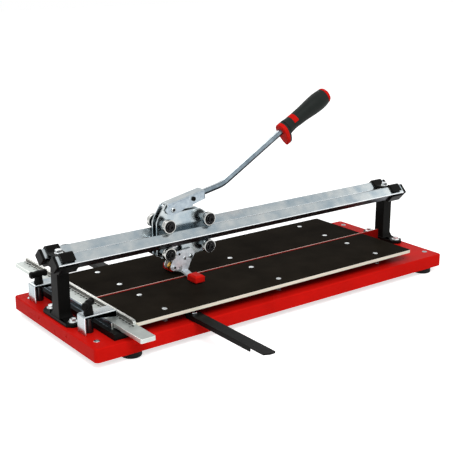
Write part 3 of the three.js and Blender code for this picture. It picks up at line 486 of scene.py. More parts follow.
def refined(
    node, name, width=None, segments=2, limit=40, folds=None, fold=0.0, paint=(), rim=None,
    base=None, change=None,
):
    """The CAD node with rounded edges; folds picks the edges of sheet bends, paint the faces of
    another finish, and rim is the finish of the rounded edges themselves."""
    bm = solid_copy(node)
    if change:
        change(bm)
    materials = [finish(base or SLOT_OF[node])]
    if folds:
        softened(bm, fold, 5, limit, folds)
    if width is None:
        width = details().edge_softness / MM
    if rim:
        materials.append(finish(rim))
    softened(bm, width, segments, limit, index=len(materials) - 1 if rim else -1)
    for other, wants in paint:
        materials.append(finish(other))
        for face in bm.faces:
            if wants(face):
                face.material_index = len(materials) - 1
    return shown(name, bm, BODY_OF[node], SLOT_OF[node], materials, 35, [node])


def parted(bm, spot, normal):
    """Cuts the faces that cross a plane in two, so that each side can have its own finish."""
    everything = [*bm.verts, *bm.edges, *bm.faces]
    bmesh.ops.bisect_plane(
        bm, geom=everything, dist=0.001 * MM, plane_co=spot, plane_no=normal
    )


def across_mm(face):
    """A face's place across the cutter, in millimetres from its middle."""
    return (face.calc_center_median().y - TRAY_MIDDLE.y) / MM


def around(steps):
    return [2 * math.pi * step / steps for step in range(steps)]


def mirrored(half):
    """A turned profile's other half, below the middle."""
    return half + [(radius, -height) for radius, height in reversed(half)]


def standing(axis, centre):
    """Takes a shape about Z, in millimetres, to an axis of the cutter through that centre."""
    turn = {"Y": Matrix.Rotation(math.radians(-90), 4, "X"), "Z": Matrix.Identity(4)}[axis]
    return Matrix.Translation(place(*centre)) @ turn @ Matrix.Scale(MM, 4)


def turned(bm, profile, matrix, steps=None):
    """Adds a turned solid from (radius, height) points, closed on the axis or on itself."""
    steps = steps or details().turned_steps
    looped = profile[0] == profile[-1]
    rings = [
        [
            bm.verts.new(
                matrix @ Vector((radius * math.cos(angle), radius * math.sin(angle), height))
            )
            for angle in around(steps if radius else 1)
        ]
        for radius, height in (profile[:-1] if looped else profile)
    ]
    pairs = list(zip(rings, rings[1:])) + ([(rings[-1], rings[0])] if looped else [])
    for lower, upper in pairs:
        for step in range(steps):
            after = (step + 1) % steps
            corners = [
                lower[step % len(lower)],
                lower[after % len(lower)],
                upper[after % len(upper)],
                upper[step % len(upper)],
            ]
            corners = list(dict.fromkeys(corners))
            if len(corners) > 2:
                bm.faces.new(corners)


def loft(bm, sections):
    """Joins rings of points; the first and last rings are closed with a face."""
    rings = [[bm.verts.new(point) for point in ring] for ring in sections]
    faces = [bm.faces.new(list(reversed(rings[0]))), bm.faces.new(rings[-1])]
    count = len(rings[0])
    for lower, upper in zip(rings, rings[1:]):
        for step in range(count):
            after = (step + 1) % count
            faces.append(bm.faces.new([lower[step], lower[after], upper[after], upper[step]]))
    return faces


def facing_out(bm):
    bmesh.ops.remove_doubles(bm, verts=bm.verts, dist=0.002 * MM)
    bmesh.ops.recalc_face_normals(bm, faces=bm.faces)


def turned_mesh(axis, centre, *profiles):
    bm = bmesh.new()
    for profile in profiles:
        turned(bm, profile, standing(axis, centre))
    facing_out(bm)
    return bm


def turned_piece(name, node, profile, centre, axis, sharp=35):
    bm = turned_mesh(axis, centre, profile)
    return shown(name, bm, BODY_OF[node], SLOT_OF[node], None, sharp, [node])


def hexagon(radius):
    return [(radius * math.cos(angle), radius * math.sin(angle)) for angle in around(6)]


# ---- Geometry node trees ------------------------------------------------------------------------


def new_tree(name, inputs):
    tree = bpy.data.node_groups.new(name, "GeometryNodeTree")
    face = tree.interface
    face.new_socket("Geometry", in_out="INPUT", socket_type="NodeSocketGeometry")
    face.new_socket("Geometry", in_out="OUTPUT", socket_type="NodeSocketGeometry")
    for label, kind in {**inputs, "Material": "Material"}.items():
        face.new_socket(label, in_out="INPUT", socket_type="NodeSocket" + kind)
    return tree, tree.nodes.new("NodeGroupInput").outputs


def copied(tree, points, instance, **rotation):
    """Copies a shape onto points, as it stands or turned."""
    inputs = {"Points": points, "Instance": instance, **rotation}
    return added(tree, "GeometryNodeInstanceOnPoints", inputs).outputs["Instances"]


def finish_tree(tree, source, given):
    """Ends a tree: plain geometry with its material on it."""
    real = added(tree, "GeometryNodeRealizeInstances", {"Geometry": source}).outputs["Geometry"]
    paint = {"Geometry": real, "Material": given["Material"]}
    painted = added(tree, "GeometryNodeSetMaterial", paint).outputs["Geometry"]
    added(tree, "NodeGroupOutput", {"Geometry": painted})
    return tree


def fastener_tree():
    """A head on every point, square to the point's facing, each turned its own way."""
    tree, given = new_tree("Fasteners", {"Head": "Object", "Turn": "Float", "Seed": "Int"})
    head = added(tree, "GeometryNodeObjectInfo", {"Object": given["Head"]})
    facing = added(
        tree, "GeometryNodeInputNamedAttribute", {"Name": "facing"}, data_type="FLOAT_VECTOR"
    )
    square = added(
        tree,
        "FunctionNodeAlignRotationToVector",
        {"Vector": facing.outputs["Attribute"]},
        axis="Z",
    )
    largest, chosen = 3, 1  # the random node's maximum and its value, as plain numbers
    chance = added(
        tree,
        "FunctionNodeRandomValue",
        {largest: given["Turn"], "Seed": given["Seed"]},
        data_type="FLOAT",
    )
    spin = added(
        tree,
        "FunctionNodeAxisAngleToRotation",
        {"Axis": (0.0, 0.0, 1.0), "Angle": chance.outputs[chosen]},
    )
    turn = added(
        tree,
        "FunctionNodeRotateRotation",
        {"Rotation": square.outputs["Rotation"], "Rotate By": spin.outputs["Rotation"]},
        rotation_space="LOCAL",
    )
    heads = copied(
        tree, given["Geometry"], head.outputs["Geometry"], Rotation=turn.outputs["Rotation"]
    )
    return finish_tree(tree, heads, given)


def spring_tree():
    tree, given = new_tree(
        "Coil springs",
        {"Turns": "Float", "Coil Radius": "Float", "Wire Radius": "Float", "Height": "Float"},
    )
    coil = {
        "Resolution": 22,
        "Rotations": given["Turns"],
        "Start Radius": given["Coil Radius"],
        "End Radius": given["Coil Radius"],
        "Height": given["Height"],
    }
    wire = {"Resolution": 8, "Radius": given["Wire Radius"]}
    sweep = {
        "Curve": added(tree, "GeometryNodeCurveSpiral", coil).outputs["Curve"],
        "Profile Curve": added(tree, "GeometryNodeCurvePrimitiveCircle", wire).outputs["Curve"],
        "Fill Caps": True,
    }
    spring = added(tree, "GeometryNodeCurveToMesh", sweep).outputs["Mesh"]
    return finish_tree(tree, copied(tree, given["Geometry"], spring), given)


def tick_tree():
    """Rows of thin marks along Y, one row from each point."""
    tree, given = new_tree("Ruler ticks", {"Count": "Int", "Step": "Vector", "Mark": "Vector"})
    line = {"Count": given["Count"], "Offset": given["Step"]}
    row = added(tree, "GeometryNodeMeshLine", line, mode="OFFSET").outputs["Mesh"]
    mark = added(tree, "GeometryNodeMeshCube", {"Size": given["Mark"]}).outputs["Mesh"]
    marks = copied(tree, row, mark)
    return finish_tree(tree, copied(tree, given["Geometry"], marks), given)


made_trees = {}


def tree_named(maker):
    if maker not in made_trees:
        made_trees[maker] = maker()
    return made_trees[maker]


def grown(name, maker, points, values, body, nodes=(), sharp=35):
    """Runs a tree on points and keeps the result as a plain mesh piece."""
    tree = tree_named(maker)
    mesh = bpy.data.meshes.new(name)
    mesh.from_pydata([spot for spot, _ in points], [], [])
    facing = mesh.attributes.new("facing", "FLOAT_VECTOR", "POINT")
    for entry, (_, direction) in zip(facing.data, points):
        entry.vector = direction
    piece = bpy.data.objects.new(name, mesh)
    bpy.context.scene.collection.objects.link(piece)
    modifier = piece.modifiers.new(tree.name, "NODES")
    modifier.node_group = tree
    for item in tree.interface.items_tree:
        if item.in_out == "INPUT" and item.name in values:
            modifier[item.identifier] = values[item.name]
    plain_mesh(piece)
    smoothed(piece.data, sharp)
    return on_body(piece, body, nodes)


# ---- Fasteners ----------------------------------------------------------------------------------


UP = Vector((0, 0, 1))
WASHER = 1.6  # thickness of a bolt's washer


def head_model(name, build):
    """A fastener's shape about Z at the origin, in metres, for a tree to copy."""
    bm = bmesh.new()
    build(bm)
    facing_out(bm)
    mesh = bpy.data.meshes.new(name)
    bm.to_mesh(mesh)
    bm.free()
    return bpy.data.objects.new(name, mesh)


def turned_head(name, profile, steps):
    return head_model(name, lambda bm: turned(bm, profile, Matrix.Scale(MM, 4), steps))


def raised_head(name, outline, low, high):
    """A straight solid about Z, outline and heights in millimetres."""
    sections = [[(a * MM, b * MM, height * MM) for a, b in outline] for height in (low, high)]
    return head_model(name, lambda bm: loft(bm, sections))


def carved(model, tool, operation="DIFFERENCE"):
    """Sinks a tool in a head, or keeps only what the two share."""
    scene = bpy.context.scene.collection.objects
    scene.link(model)
    scene.link(tool)
    carve = model.modifiers.new("carve", "BOOLEAN")
    carve.operation = operation
    carve.object = tool
    plain_mesh(model)
    scene.unlink(model)
    bpy.data.objects.remove(tool)
    return model


def dome_screw(radius, rise, drive):
    """A low domed screw head with a cross recess."""
    profile = [(0, -1.0), (radius, -1.0), (radius, rise * 0.25)]
    steps = 5
    for step in range(1, steps):
        angle = math.pi / 2 * step / steps
        profile.append((radius * math.cos(angle), rise * (0.25 + 0.75 * math.sin(angle))))
    head = turned_head("screw", profile + [(0, rise)], 28)
    a, w = drive, drive * 0.26
    cross = [
        (a, -w), (a, w), (w, w), (w, a), (-w, a), (-w, w),
        (-a, w), (-a, -w), (-w, -w), (-w, -a), (w, -a), (w, -w),
    ]
    return carved(head, raised_head("driver", cross, rise - 0.9, rise + 2))


def hex_bolt(radius, height, washer):
    """A hexagon head with chamfered corners on a flat washer."""
    top = WASHER + height
    disc = [(0, 0), (washer, 0), (washer, 1.2), (washer - 0.4, WASHER), (0, WASHER)]
    cone = [(0, 1), (radius + 2, 1), (radius + 2, height), (radius * 0.86, top), (0, top)]
    head = turned_head("bolt", disc, 32)
    block = raised_head("bolt hexagon", hexagon(radius), WASHER, top)
    carved(block, turned_head("bolt chamfer", cone, 32), "INTERSECT")
    bm = bmesh.new()
    bm.from_mesh(head.data)
    bm.from_mesh(block.data)
    bm.to_mesh(head.data)
    bm.free()
    bpy.data.objects.remove(block)
    return head


def socket_screw(radius, height, key):
    """A cylindrical cap head with a hexagon socket."""
    profile = [(0, 0), (radius, 0), (radius, height - 0.6), (radius - 0.6, height), (0, height)]
    head = turned_head("cap screw", profile, 40)
    return carved(head, raised_head("key", hexagon(key), height - 3.2, height + 2))


def fasteners(name, head, points, body, seed, look=None, slot="zinc_plated_steel", nodes=()):
    values = {"Head": head, "Turn": 2 * math.pi, "Seed": seed, "Material": finish(look or slot)}
    piece = grown(name, fastener_tree, points, values, body, nodes)
    bpy.data.objects.remove(head)
    return piece


# ---- Tray ---------------------------------------------------------------------------------------


RIDGE_HIGHLIGHT_EDGE = -0.6  # the ridge is parted here: behind this line its top gets a painted highlight, in front of it the flank gets painted shade
TRAY_SCREWS = (477, 150)  # the tray's corner screws, from its middle


class TILECUTTER_OT_tray(bpy.types.Operator):
    """Red sheet tray, breaking ridge, rubber feet and corner screws"""

    bl_idname = "tilecutter.tray"
    bl_label = "Tray and feet"

    def execute(self, context):
        # painted highlight: the tray's rounded edges get a lighter red
        refined("base_tray", "tray_shell", width=1.0, rim="red edge painted highlight")
        # painted shade on the ridge's front flank and a painted highlight on the rear of its crest
        refined(
            "breaking_ridge",
            "breaking_ridge_coat",
            width=0.4,
            change=lambda bm: parted(bm, place(0, RIDGE_HIGHLIGHT_EDGE, 0), (0, 1, 0)),
            paint=[("ridge front painted shade", self.on_flank), ("ridge crest painted highlight", self.on_crest)],
        )
        for node in [name for name in BODY_OF if name.startswith("foot_")]:
            self.foot(node)
        along, across = TRAY_SCREWS
        corners = [
            (place(end * along, side * across, 0.0), UP) for end in (-1, 1) for side in (-1, 1)
        ]
        fasteners("tray_corner_screws", dome_screw(6.5, 1.6, 3.4), corners, "frame", 3)
        return {"FINISHED"}

    def on_crest(self, face):
        return face.normal.z > 0.4 and across_mm(face) > RIDGE_HIGHLIGHT_EDGE

    def on_flank(self, face):
        return across_mm(face) < RIDGE_HIGHLIGHT_EDGE

    def foot(self, node):
        """Turned rubber foot with a screw in its hollow."""
        low, high = box_mm(node)
        x, y, _ = middle_mm(node)
        radius = half_mm(node)[0]
        profile = [
            (0, low.z + 2.2), (7, low.z + 2.2), (8, low.z), (radius - 3, low.z),
            (radius - 1.2, low.z + 0.5), (radius - 0.2, low.z + 1.8), (radius, low.z + 4),
            (radius - 0.6, low.z + 15), (radius - 3, high.z), (0, high.z),
        ]
        turned_piece(node + "_rubber", node, profile, (x, y, 0), "Z", 50)
        spot = (place(x, y, low.z + 2.1), Vector((0, 0, -1)))
        fasteners(node + "_screw", dome_screw(5.2, 1.6, 3.0), [spot], "frame", 5)


# ---- Tables -------------------------------------------------------------------------------------


SCREW_COLUMNS = (-310, -1.5, 307)
SCREW_ROWS = (42, 142)


class TILECUTTER_OT_tables(bpy.types.Operator):
    """Film faced tables on coil springs, with their flush screws"""

    bl_idname = "tilecutter.tables"
    bl_label = "Tables and springs"

    def execute(self, context):
        for side, sign in (("front", -1), ("rear", 1)):
            node = "table_" + side
            edges = [("board edge", lambda face: abs(face.normal.z) < 0.75)]
            refined(node, f"{node}_board", width=0.45, paint=edges)
            self.screws(side, sign, box_mm(node)[1].z)
            self.springs(side, sign)
        return {"FINISHED"}

    def screws(self, side, sign, top):
        points = [(place(x, sign * y, top), UP) for x in SCREW_COLUMNS for y in SCREW_ROWS]
        head = dome_screw(details().screw_radius / MM, 1.3, 2.4)
        name = f"table_screws_{side}"
        fasteners(name, head, points, f"{side}_table", 11 + sign, "bright screw")

    def springs(self, side, sign):
        own = details()
        nodes = [name for name in BODY_OF if name.startswith(f"table_spring_{side}")]
        low, high = box_mm(nodes[0])
        wire = own.spring_wire / MM
        tall = high.z - low.z - 2 * wire
        spots = [middle_mm(name) for name in nodes]
        spots += [Vector((SCREW_COLUMNS[1], sign * y, 0)) for y in SCREW_ROWS]
        values = {
            "Turns": own.spring_turns,
            "Coil Radius": (half_mm(nodes[0])[0] - wire) * MM,
            "Wire Radius": own.spring_wire,
            "Height": tall * MM,
            "Material": finish("spring_steel"),
        }
        points = [(place(spot.x, spot.y, low.z + wire), UP) for spot in spots]
        name = f"table_springs_{side}"
        piece = grown(name, spring_tree, points, values, "frame", nodes, 60)
        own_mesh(piece)


# ---- Columns and rails --------------------------------------------------------------------------


FLANGE_BOLTS = (49, 8.3)  # a column's bolts, out from its middle and up to its flange
STRAP_SEAT = 8  # from the top of a strap's bolt down to its washer


class TILECUTTER_OT_rails(bpy.types.Operator):
    """Columns, square rails, end caps, strap clamps and their bolts"""

    bl_idname = "tilecutter.rails"
    bl_label = "Columns and rails"

    def execute(self, context):
        bolts = []
        across, height = FLANGE_BOLTS
        for end in ("left", "right"):
            refined("column_" + end, f"column_{end}_casting", width=1.4, segments=3, limit=30)
            refined("rail_clamp_" + end, f"rail_strap_{end}", width=0.7)
            x = middle_mm("column_" + end).x
            bolts += [(place(x, y, height), UP) for y in (-across, across)]
        for side in ("front", "rear"):
            self.rail(side)
        head = hex_bolt(7.0, 5.6, 9.5)
        fasteners("column_bolts", head, bolts, "frame", 21, "bright screw")
        for end in ("left", "right"):
            node = "clamp_bolt_" + end
            x, y, _ = middle_mm(node)
            spot = (place(x, y, box_mm(node)[1].z - STRAP_SEAT), UP)
            head = hex_bolt(7.6, 6.4, 9.2)
            name = f"rail_strap_bolt_{end}"
            fasteners(name, head, [spot], "frame", 23, "bright screw", nodes=[node])
        return {"FINISHED"}

    def rail(self, side):
        faces = [
            # painted highlight: bright zinc on the rail corners that face across the cutter
            ("bright zinc and painted highlight", lambda face: abs(face.normal.y) > 0.8),
            # painted shade: dark zinc on the rails' lower faces
            ("rail underside", lambda face: face.normal.z < -0.3),
        ]
        name = f"rail_{side}_tube"
        refined("rail_" + side, name, width=0.3, segments=1, rim="bright zinc and painted highlight", paint=faces)
        for end in ("left", "right"):
            node = f"rail_cap_{side}_{end}"
            refined(node, node + "_plug", width=0.9, segments=3)


# ---- Carriage -----------------------------------------------------------------------------------


SHIELD = (7.6, 13.3)  # inner and outer radius of a roller's dark shield
ROLLER_BORE = 5.0
AXLE_KEPT = (3, 1.4)  # axles that reach further past a roller's face are cut back to this
PIN_RECESS = (0.55, 0.62, 1.6)  # radii of a pin's recess as shares of its head, and its depth
PIN_HEAD = 2.4  # thickness of a pin's head


def roller_profile(radius, half):
    """Ball bearing ring with a shallow groove, recessed shields and a raised inner ring."""
    inner, outer = SHIELD
    side = [
        (ROLLER_BORE, half - 0.2), (ROLLER_BORE + 0.3, half), (inner - 0.3, half),
        (inner, half - 0.9), (outer, half - 0.9), (outer + 0.2, half), (radius - 0.8, half),
        (radius - 0.2, half - 0.35), (radius, half - 1.0), (radius, 2.6), (radius - 0.8, 0.5),
    ]
    profile = mirrored(side)
    return profile + [profile[0]]


class TILECUTTER_OT_carriage(bpy.types.Operator):
    """Side plates, spacer block, pins, cap screws and rollers"""

    bl_idname = "tilecutter.carriage"
    bl_label = "Carriage"

    def execute(self, context):
        for side in ("front", "rear"):
            refined(
                f"carriage_plate_{side}",
                f"carriage_side_{side}",
                segments=1,
                # the plates' rounded edges get bright zinc, partly a painted highlight
                rim="bright zinc and painted highlight",
                change=self.short_axles,
                paint=[("socket", self.on_axle_end)],
            )
        refined("carriage_block", "carriage_spacer", width=0.8)
        self.pin("handle_pivot", 1.2, 5.0)
        self.pin("arm_pivot", 0.9, 4.0)
        self.rollers()
        return {"FINISHED"}

    def roller_face(self):
        return abs(box_mm("roller_front_upper_left")[0].y)

    def short_axles(self, bm):
        """Leaves room for the sockets of the cap screws on the axles' ends."""
        outer = self.roller_face()
        reach, kept = AXLE_KEPT
        for vert in bm.verts:
            across = (vert.co.y - TRAY_MIDDLE.y) / MM
            if abs(across) > outer + reach:
                vert.co.y = TRAY_MIDDLE.y + math.copysign(outer + kept, across) * MM

    def on_axle_end(self, face):
        return abs(across_mm(face)) > self.roller_face()

    def darkened(self, name, node, profile, slot, light, inner, outer):
        """A turned piece across the cutter, black on its level faces between two radii."""
        centre = middle_mm(node)
        bm = turned_mesh("Y", centre, profile)
        axis = place(*centre)
        for face in bm.faces:
            spot = face.calc_center_median()
            away = math.hypot(spot.x - axis.x, spot.z - axis.z) / MM
            if abs(face.normal.y) > 0.7 and inner < away < outer:
                face.material_index = 1
        shown(name, bm, BODY_OF[node], slot, [finish(light), finish("socket")], 35, [node])

    def pin(self, node, chamfer, shank):
        radius, reach, _ = half_mm(node)
        floor, mouth, depth = PIN_RECESS
        half = [
            (0, reach - depth), (radius * floor, reach - depth), (radius * mouth, reach),
            (radius - chamfer, reach), (radius, reach - chamfer), (radius, reach - PIN_HEAD),
            (shank, reach - PIN_HEAD),
        ]
        # painted shade: the floor of the pin's recess is black
        look = "zinc_plated_steel"
        inside = radius * mouth
        self.darkened(node + "_pin", node, mirrored(half), SLOT_OF[node], look, -1.0, inside)

    def rollers(self):
        caps = []
        for node in [name for name in BODY_OF if name.startswith("roller_")]:
            _, half, radius = half_mm(node)
            profile = roller_profile(radius, half)
            inner, outer = SHIELD
            look = "polished_steel"
            self.darkened(node + "_bearing", node, profile, look, look, inner - 0.1, outer)
            x, y, z = middle_mm(node)
            side = 1 if y > 0 else -1
            caps.append((place(x, y + side * (half + 0.3), z), Vector((0, side, 0))))
        head = socket_screw(7.2, 6.0, 3.8)
        fasteners("roller_cap_screws", head, caps, "carriage", 31, "socket", "turned_steel")


# ---- Handle -------------------------------------------------------------------------------------


BRACKET_SLOPE = math.radians(11)
CHANNEL_SHADE_END = 2.5  # painted shade: this much of the bracket's right end is painted black
BAR_SLOPE = math.radians(30.5)
BAR_RADIUS = 7.5  # from the bar's axis to its corners
BAR_BEND = 14  # the bar begins to curve this far before its bend
CORNER = ((-5, 0.9556), (0, 0.975), (5, 0.9556))  # degrees and reach round a blunted corner
GRIP_SLOPE = math.radians(28.4)
GUARD_PLACE = (117.0, 0.0, 330.3)
GUARD_RADIUS = 18.5
GUARD_DROP = 40  # how far the finger guard hangs below the bar
GUARD_WAIST = 4.5  # how much narrower the guard gets towards its lower end
GUARD_RUBBER = 9.5  # the sleeve's rubber covers the guard from here back
SADDLE_WRAP = 78  # degrees that the grip's red saddle reaches down each side
SADDLE_BED = 15.6  # inner radius of the saddle


def along_grip(x_under, y, run):
    """A point of the grip: under the axis, across it, and along it from the guard's front."""
    sin, cos = math.sin(GRIP_SLOPE), math.cos(GRIP_SLOPE)
    x, _, z = GUARD_PLACE
    return place(x + run * cos + x_under * sin, y, z + run * sin - x_under * cos)


def round_grip(angle, run, radius, beside=None):
    """A point round the grip's axis, at one radius or at two: below it and beside it."""
    beside = radius if beside is None else beside
    return along_grip(radius * math.cos(angle), beside * math.sin(angle), run)


class TILECUTTER_OT_handle(bpy.types.Operator):
    """Channel bracket, hexagonal bar, bolt and two colour grip"""

    bl_idname = "tilecutter.handle"
    bl_label = "Handle"

    def execute(self, context):
        refined(
            "handle_bracket",
            "handle_channel",
            segments=1,
            # the bracket's rounded edges get bright zinc, partly a painted highlight
            rim="bright zinc and painted highlight",
            folds=self.channel_fold,
            fold=5.0,
            change=self.part_channel,
            paint=[
                # painted shade: the cheeks get a darker zinc
                ("bracket side", lambda face: abs(face.normal.y) > 0.7),
                # painted shade: the bracket's right end is painted black
                ("socket", lambda face: face.calc_center_median().x > self.lip),
            ],
        )
        self.hexagon_bar()
        node = "rod_bolt"
        radius, reach, _ = half_mm(node)
        half = [
            (0, reach - 1.6), (2.2, reach - 1.6), (2.3, reach), (radius - 0.7, reach),
            (radius, reach - 0.8), (radius, reach - 3), (3, reach - 3),
        ]
        turned_piece("bar_bolt", node, mirrored(half), middle_mm(node), "Y")
        self.grip_core()
        self.grip_sleeve()
        self.grip_saddle()
        return {"FINISHED"}

    def channel_fold(self, edge):
        """The two long outer bends between the bracket's top and its cheeks."""
        run = edge.verts[1].co - edge.verts[0].co
        low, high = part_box("handle_bracket")
        cheek = (high.y - low.y) / 2
        outside = all(
            abs(abs(v.co.y - TRAY_MIDDLE.y) - cheek) < 0.2 * MM for v in edge.verts
        )
        slope = math.atan2(run.z, run.x) if run.x > 0 else math.atan2(-run.z, -run.x)
        return outside and run.length > 60 * MM and abs(slope - BRACKET_SLOPE) < 0.02

    def part_channel(self, bm):
        """A cut across the bracket, a little before its right end, which is painted black as
        painted shade.
        """
        self.lip = max(vert.co.x for vert in bm.verts) - CHANNEL_SHADE_END * MM
        parted(bm, (self.lip, 0, 0), (1, 0, 0))

    def hexagon_bar(self):
        """Bar lying flat under the channel's web, with a painted highlight on its top flat and
        painted shade on its underside.
        """
        node = "handle_rod"
        spots = [v.co for v in frame["nodes"][node].data.vertices]
        lower = Vector((math.cos(BRACKET_SLOPE), 0, math.sin(BRACKET_SLOPE)))
        upper = Vector((math.cos(BAR_SLOPE), 0, math.sin(BAR_SLOPE)))

        def end_centre(along):
            reach = max(spot.dot(along) for spot in spots)
            found = [spot for spot in spots if spot.dot(along) > reach - 0.05 * MM]
            low = Vector([min(spot[axis] for spot in found) for axis in range(3)])
            high = Vector([max(spot[axis] for spot in found) for axis in range(3)])
            return (low + high) / 2

        start, end = end_centre(-lower), end_centre(upper)
        turn = lower.x * upper.z - lower.z * upper.x
        gap = end - start
        bend = start + lower * ((gap.x * upper.z - gap.z * upper.x) / turn)
        into, out = bend - lower * BAR_BEND * MM, bend + upper * BAR_BEND * MM
        stops = [(start, 0.0)]
        for part in [step / 8 for step in range(9)]:
            stops.append((into.lerp(bend, part).lerp(bend.lerp(out, part), part), part))
        stops.append((end, 1.0))
        bm = bmesh.new()
        faces = loft(bm, [self.bar_ring(centre, part) for centre, part in stops])
        # painted highlight on the top flat; painted shade on the three lower flats and on the two
        # corners beside the top flat
        plain, top, under = 0, 1, 2
        flats = (plain, top, plain, under, under, under)
        for number, face in enumerate(faces[2:]):
            corner, after = divmod(number % (6 * len(CORNER)), len(CORNER))
            if after == 2:
                face.material_index = flats[corner]
            elif corner in (1, 2):
                face.material_index = under
        facing_out(bm)
        looks = [finish("drawn bar"), finish("bar top"), finish("rail underside")]
        shown("handle_hexagon_bar", bm, BODY_OF[node], SLOT_OF[node], looks, 30, [node])

    def bar_ring(self, centre, part):
        """The bar's outline round a point, at its slope after that part of the bend."""
        slope = BRACKET_SLOPE + (BAR_SLOPE - BRACKET_SLOPE) * part
        rising = Vector((-math.sin(slope), 0, math.cos(slope)))
        ring = []
        for corner in range(6):
            for lean, reach in CORNER:
                angle = math.radians(60 * corner + lean)
                radius = BAR_RADIUS * reach * MM
                across = Vector((0, radius * math.cos(angle), 0))
                ring.append(centre + across + rising * radius * math.sin(angle))
        return ring

    def grip_core(self):
        """Finger guard and end cap."""
        circle = around(40)
        bm = bmesh.new()
        sections = []
        for run, shrink in (
            (0, 2.6), (0.8, 1.0), (2.6, 0.0), (GUARD_RUBBER, 0.0), (13.4, 0.0), (15.2, 1.0),
            (16, 2.6),
        ):
            ring = []
            for angle in circle:
                under = math.cos(angle)
                down = wide = GUARD_RADIUS - shrink
                if under > 0:
                    down, wide = GUARD_DROP - shrink, wide - GUARD_WAIST * under**2
                ring.append(round_grip(angle, run, down, wide))
            sections.append(ring)
        guard = loft(bm, sections)
        covered = along_grip(0, 0, GUARD_RUBBER)
        outward = along_grip(0, 0, GUARD_RUBBER + 1) - covered
        for face in guard:
            if (face.calc_center_median() - covered).dot(outward) > 0:
                face.material_index = 1
        cap = ((150, 19.8), (154, 19.6), (157.5, 17.6), (160, 14), (161.6, 8), (162, 3))
        loft(bm, [[round_grip(angle, run, radius) for angle in circle] for run, radius in cap])
        facing_out(bm)
        looks = [finish("red_plastic"), finish("grip rubber")]
        shown("grip_guard_and_cap", bm, "handle", "red_plastic", looks, 40, ["grip_core"])

    def grip_sleeve(self):
        """Rubber sleeve, swelling towards its end and fuller below than above."""
        stations = (
            (16.3, 18.0, 19.4), (17.5, 18.8, 19.6), (22, 18.2, 19.2), (29, 17.6, 18.2),
            (36, 17.0, 17.2), (49, 17.2, 17.4), (52, 17.8, 18.0),
            (64, 18.0, 18.3), (80, 18.8, 19.4), (97, 20.2, 21.4),
            (113, 21.2, 22.8), (126, 21.6, 23.4), (138, 21.0, 22.8), (146, 20.2, 21.6),
            (149.2, 19.8, 20.6), (149.7, 19.0, 19.6),
        )
        sections = []
        for run, top, bottom in stations:
            ring = []
            for angle in around(48):
                radius = top + (bottom - top) * (0.5 + 0.5 * math.cos(angle)) ** 2
                wide = radius * (1 - 0.05 * math.sin(angle) ** 2)
                ring.append(round_grip(angle, run, radius, wide))
            sections.append(ring)
        bm = bmesh.new()
        loft(bm, sections)
        facing_out(bm)
        look = [finish("grip rubber")]
        shown("grip_sleeve_rubber", bm, "handle", "black_plastic", look, 40, ["grip_sleeve"])

    def grip_saddle(self):
        """Red saddle let into the top of the sleeve behind the guard."""
        steps = 24
        lips = ((35.6, 16.6), (36, 17.3), (37, 17.6), (48, 17.7), (49, 17.5), (49.4, 16.6))
        sections = []
        for run, outer in lips:
            ring = []
            for radius, order in ((outer, range(steps + 1)), (SADDLE_BED, range(steps, -1, -1))):
                for step in order:
                    angle = math.pi + math.radians(SADDLE_WRAP) * (2 * step / steps - 1)
                    ring.append(round_grip(angle, run, radius))
            sections.append(ring)
        bm = bmesh.new()
        loft(bm, sections)
        facing_out(bm)
        shown("grip_saddle", bm, "handle", "red_plastic", None, 40)


# ---- Scoring and breaking -----------------------------------------------------------------------


RIVET_PLACES = ((0, 0, 0), (12, 29.3, 0), (29, 16.1, 3))  # from the wheel, and how far inwards


class TILECUTTER_OT_cutting(bpy.types.Operator):
    """Scoring arm and wheel, push link, breaker bar and pads"""

    bl_idname = "tilecutter.cutting"
    bl_label = "Scoring and breaking"

    def execute(self, context):
        # rounded edges in bright zinc, partly a painted highlight
        bright = {"rim": "bright zinc and painted highlight", "base": "brushed plate"}
        refined("scoring_arm", "scoring_arm_plates", segments=1, **bright)
        self.rivets()
        refined("push_link", "push_link_bar", width=0.4, segments=1)
        refined("breaker_bar", "breaker_tee", width=0.7, **bright)
        for side in ("front", "rear"):
            refined(f"breaker_pad_{side}", f"breaker_foot_{side}", width=1.3, segments=3, limit=30)
        node = "scoring_wheel"
        radius = half_mm(node)[2]
        half = [
            (3.3, 3.2), (3.6, 3.4), (4.8, 3.4), (5.0, 3.2), (5.2, 1.6), (5.6, 1.4),
            (radius - 2.4, 1.4), (radius - 0.05, 0.08),
        ]
        profile = mirrored(half) + [half[0]]
        turned_piece("scoring_wheel_disc", node, profile, middle_mm(node), "Y", 25)
        return {"FINISHED"}

    def rivets(self):
        """Bright washers with dark rivets on both faces of the scoring arm."""
        wheel = middle_mm("scoring_wheel")
        proud = half_mm("scoring_arm")[1]
        dots = [
            (place(wheel.x + x, side * (proud - inwards), wheel.z + z), Vector((0, side, 0)))
            for side in (-1, 1)
            for x, z, inwards in RIVET_PLACES
        ]
        disc = [(0, -0.3), (4.2, -0.3), (4.2, 0.6), (3.9, 0.9), (0, 0.9)]
        dot = [(0, -0.3), (2.7, -0.3), (2.7, 0.9), (2.2, 1.3), (0, 1.5)]
        for name, profile, points, look in (
            ("arm_rivet_washers", disc, dots[2::3], "bright zinc and painted highlight"),
            ("arm_rivets", dot, dots, "socket"),
        ):
            fasteners(name, turned_head(name, profile, 24), points, "scoring_arm", 41, look)


# ---- Ruler --------------------------------------------------------------------------------------


FENCE = 6.9  # from the ruler's right edge to the middle of its raised fence
FLAT_TOP = 25.0  # top of the ruler's flat part
SCALE_START = 70  # from the ruler's front end to its first mark
GUIDE_SEAM = 13.1  # height of the black bar under the bright channel
KNOB_TURN = {"front": 38, "rear": 4}  # how each wing knob was left, in degrees
STUD = 4.3  # radius of the hole round a clamp's stud


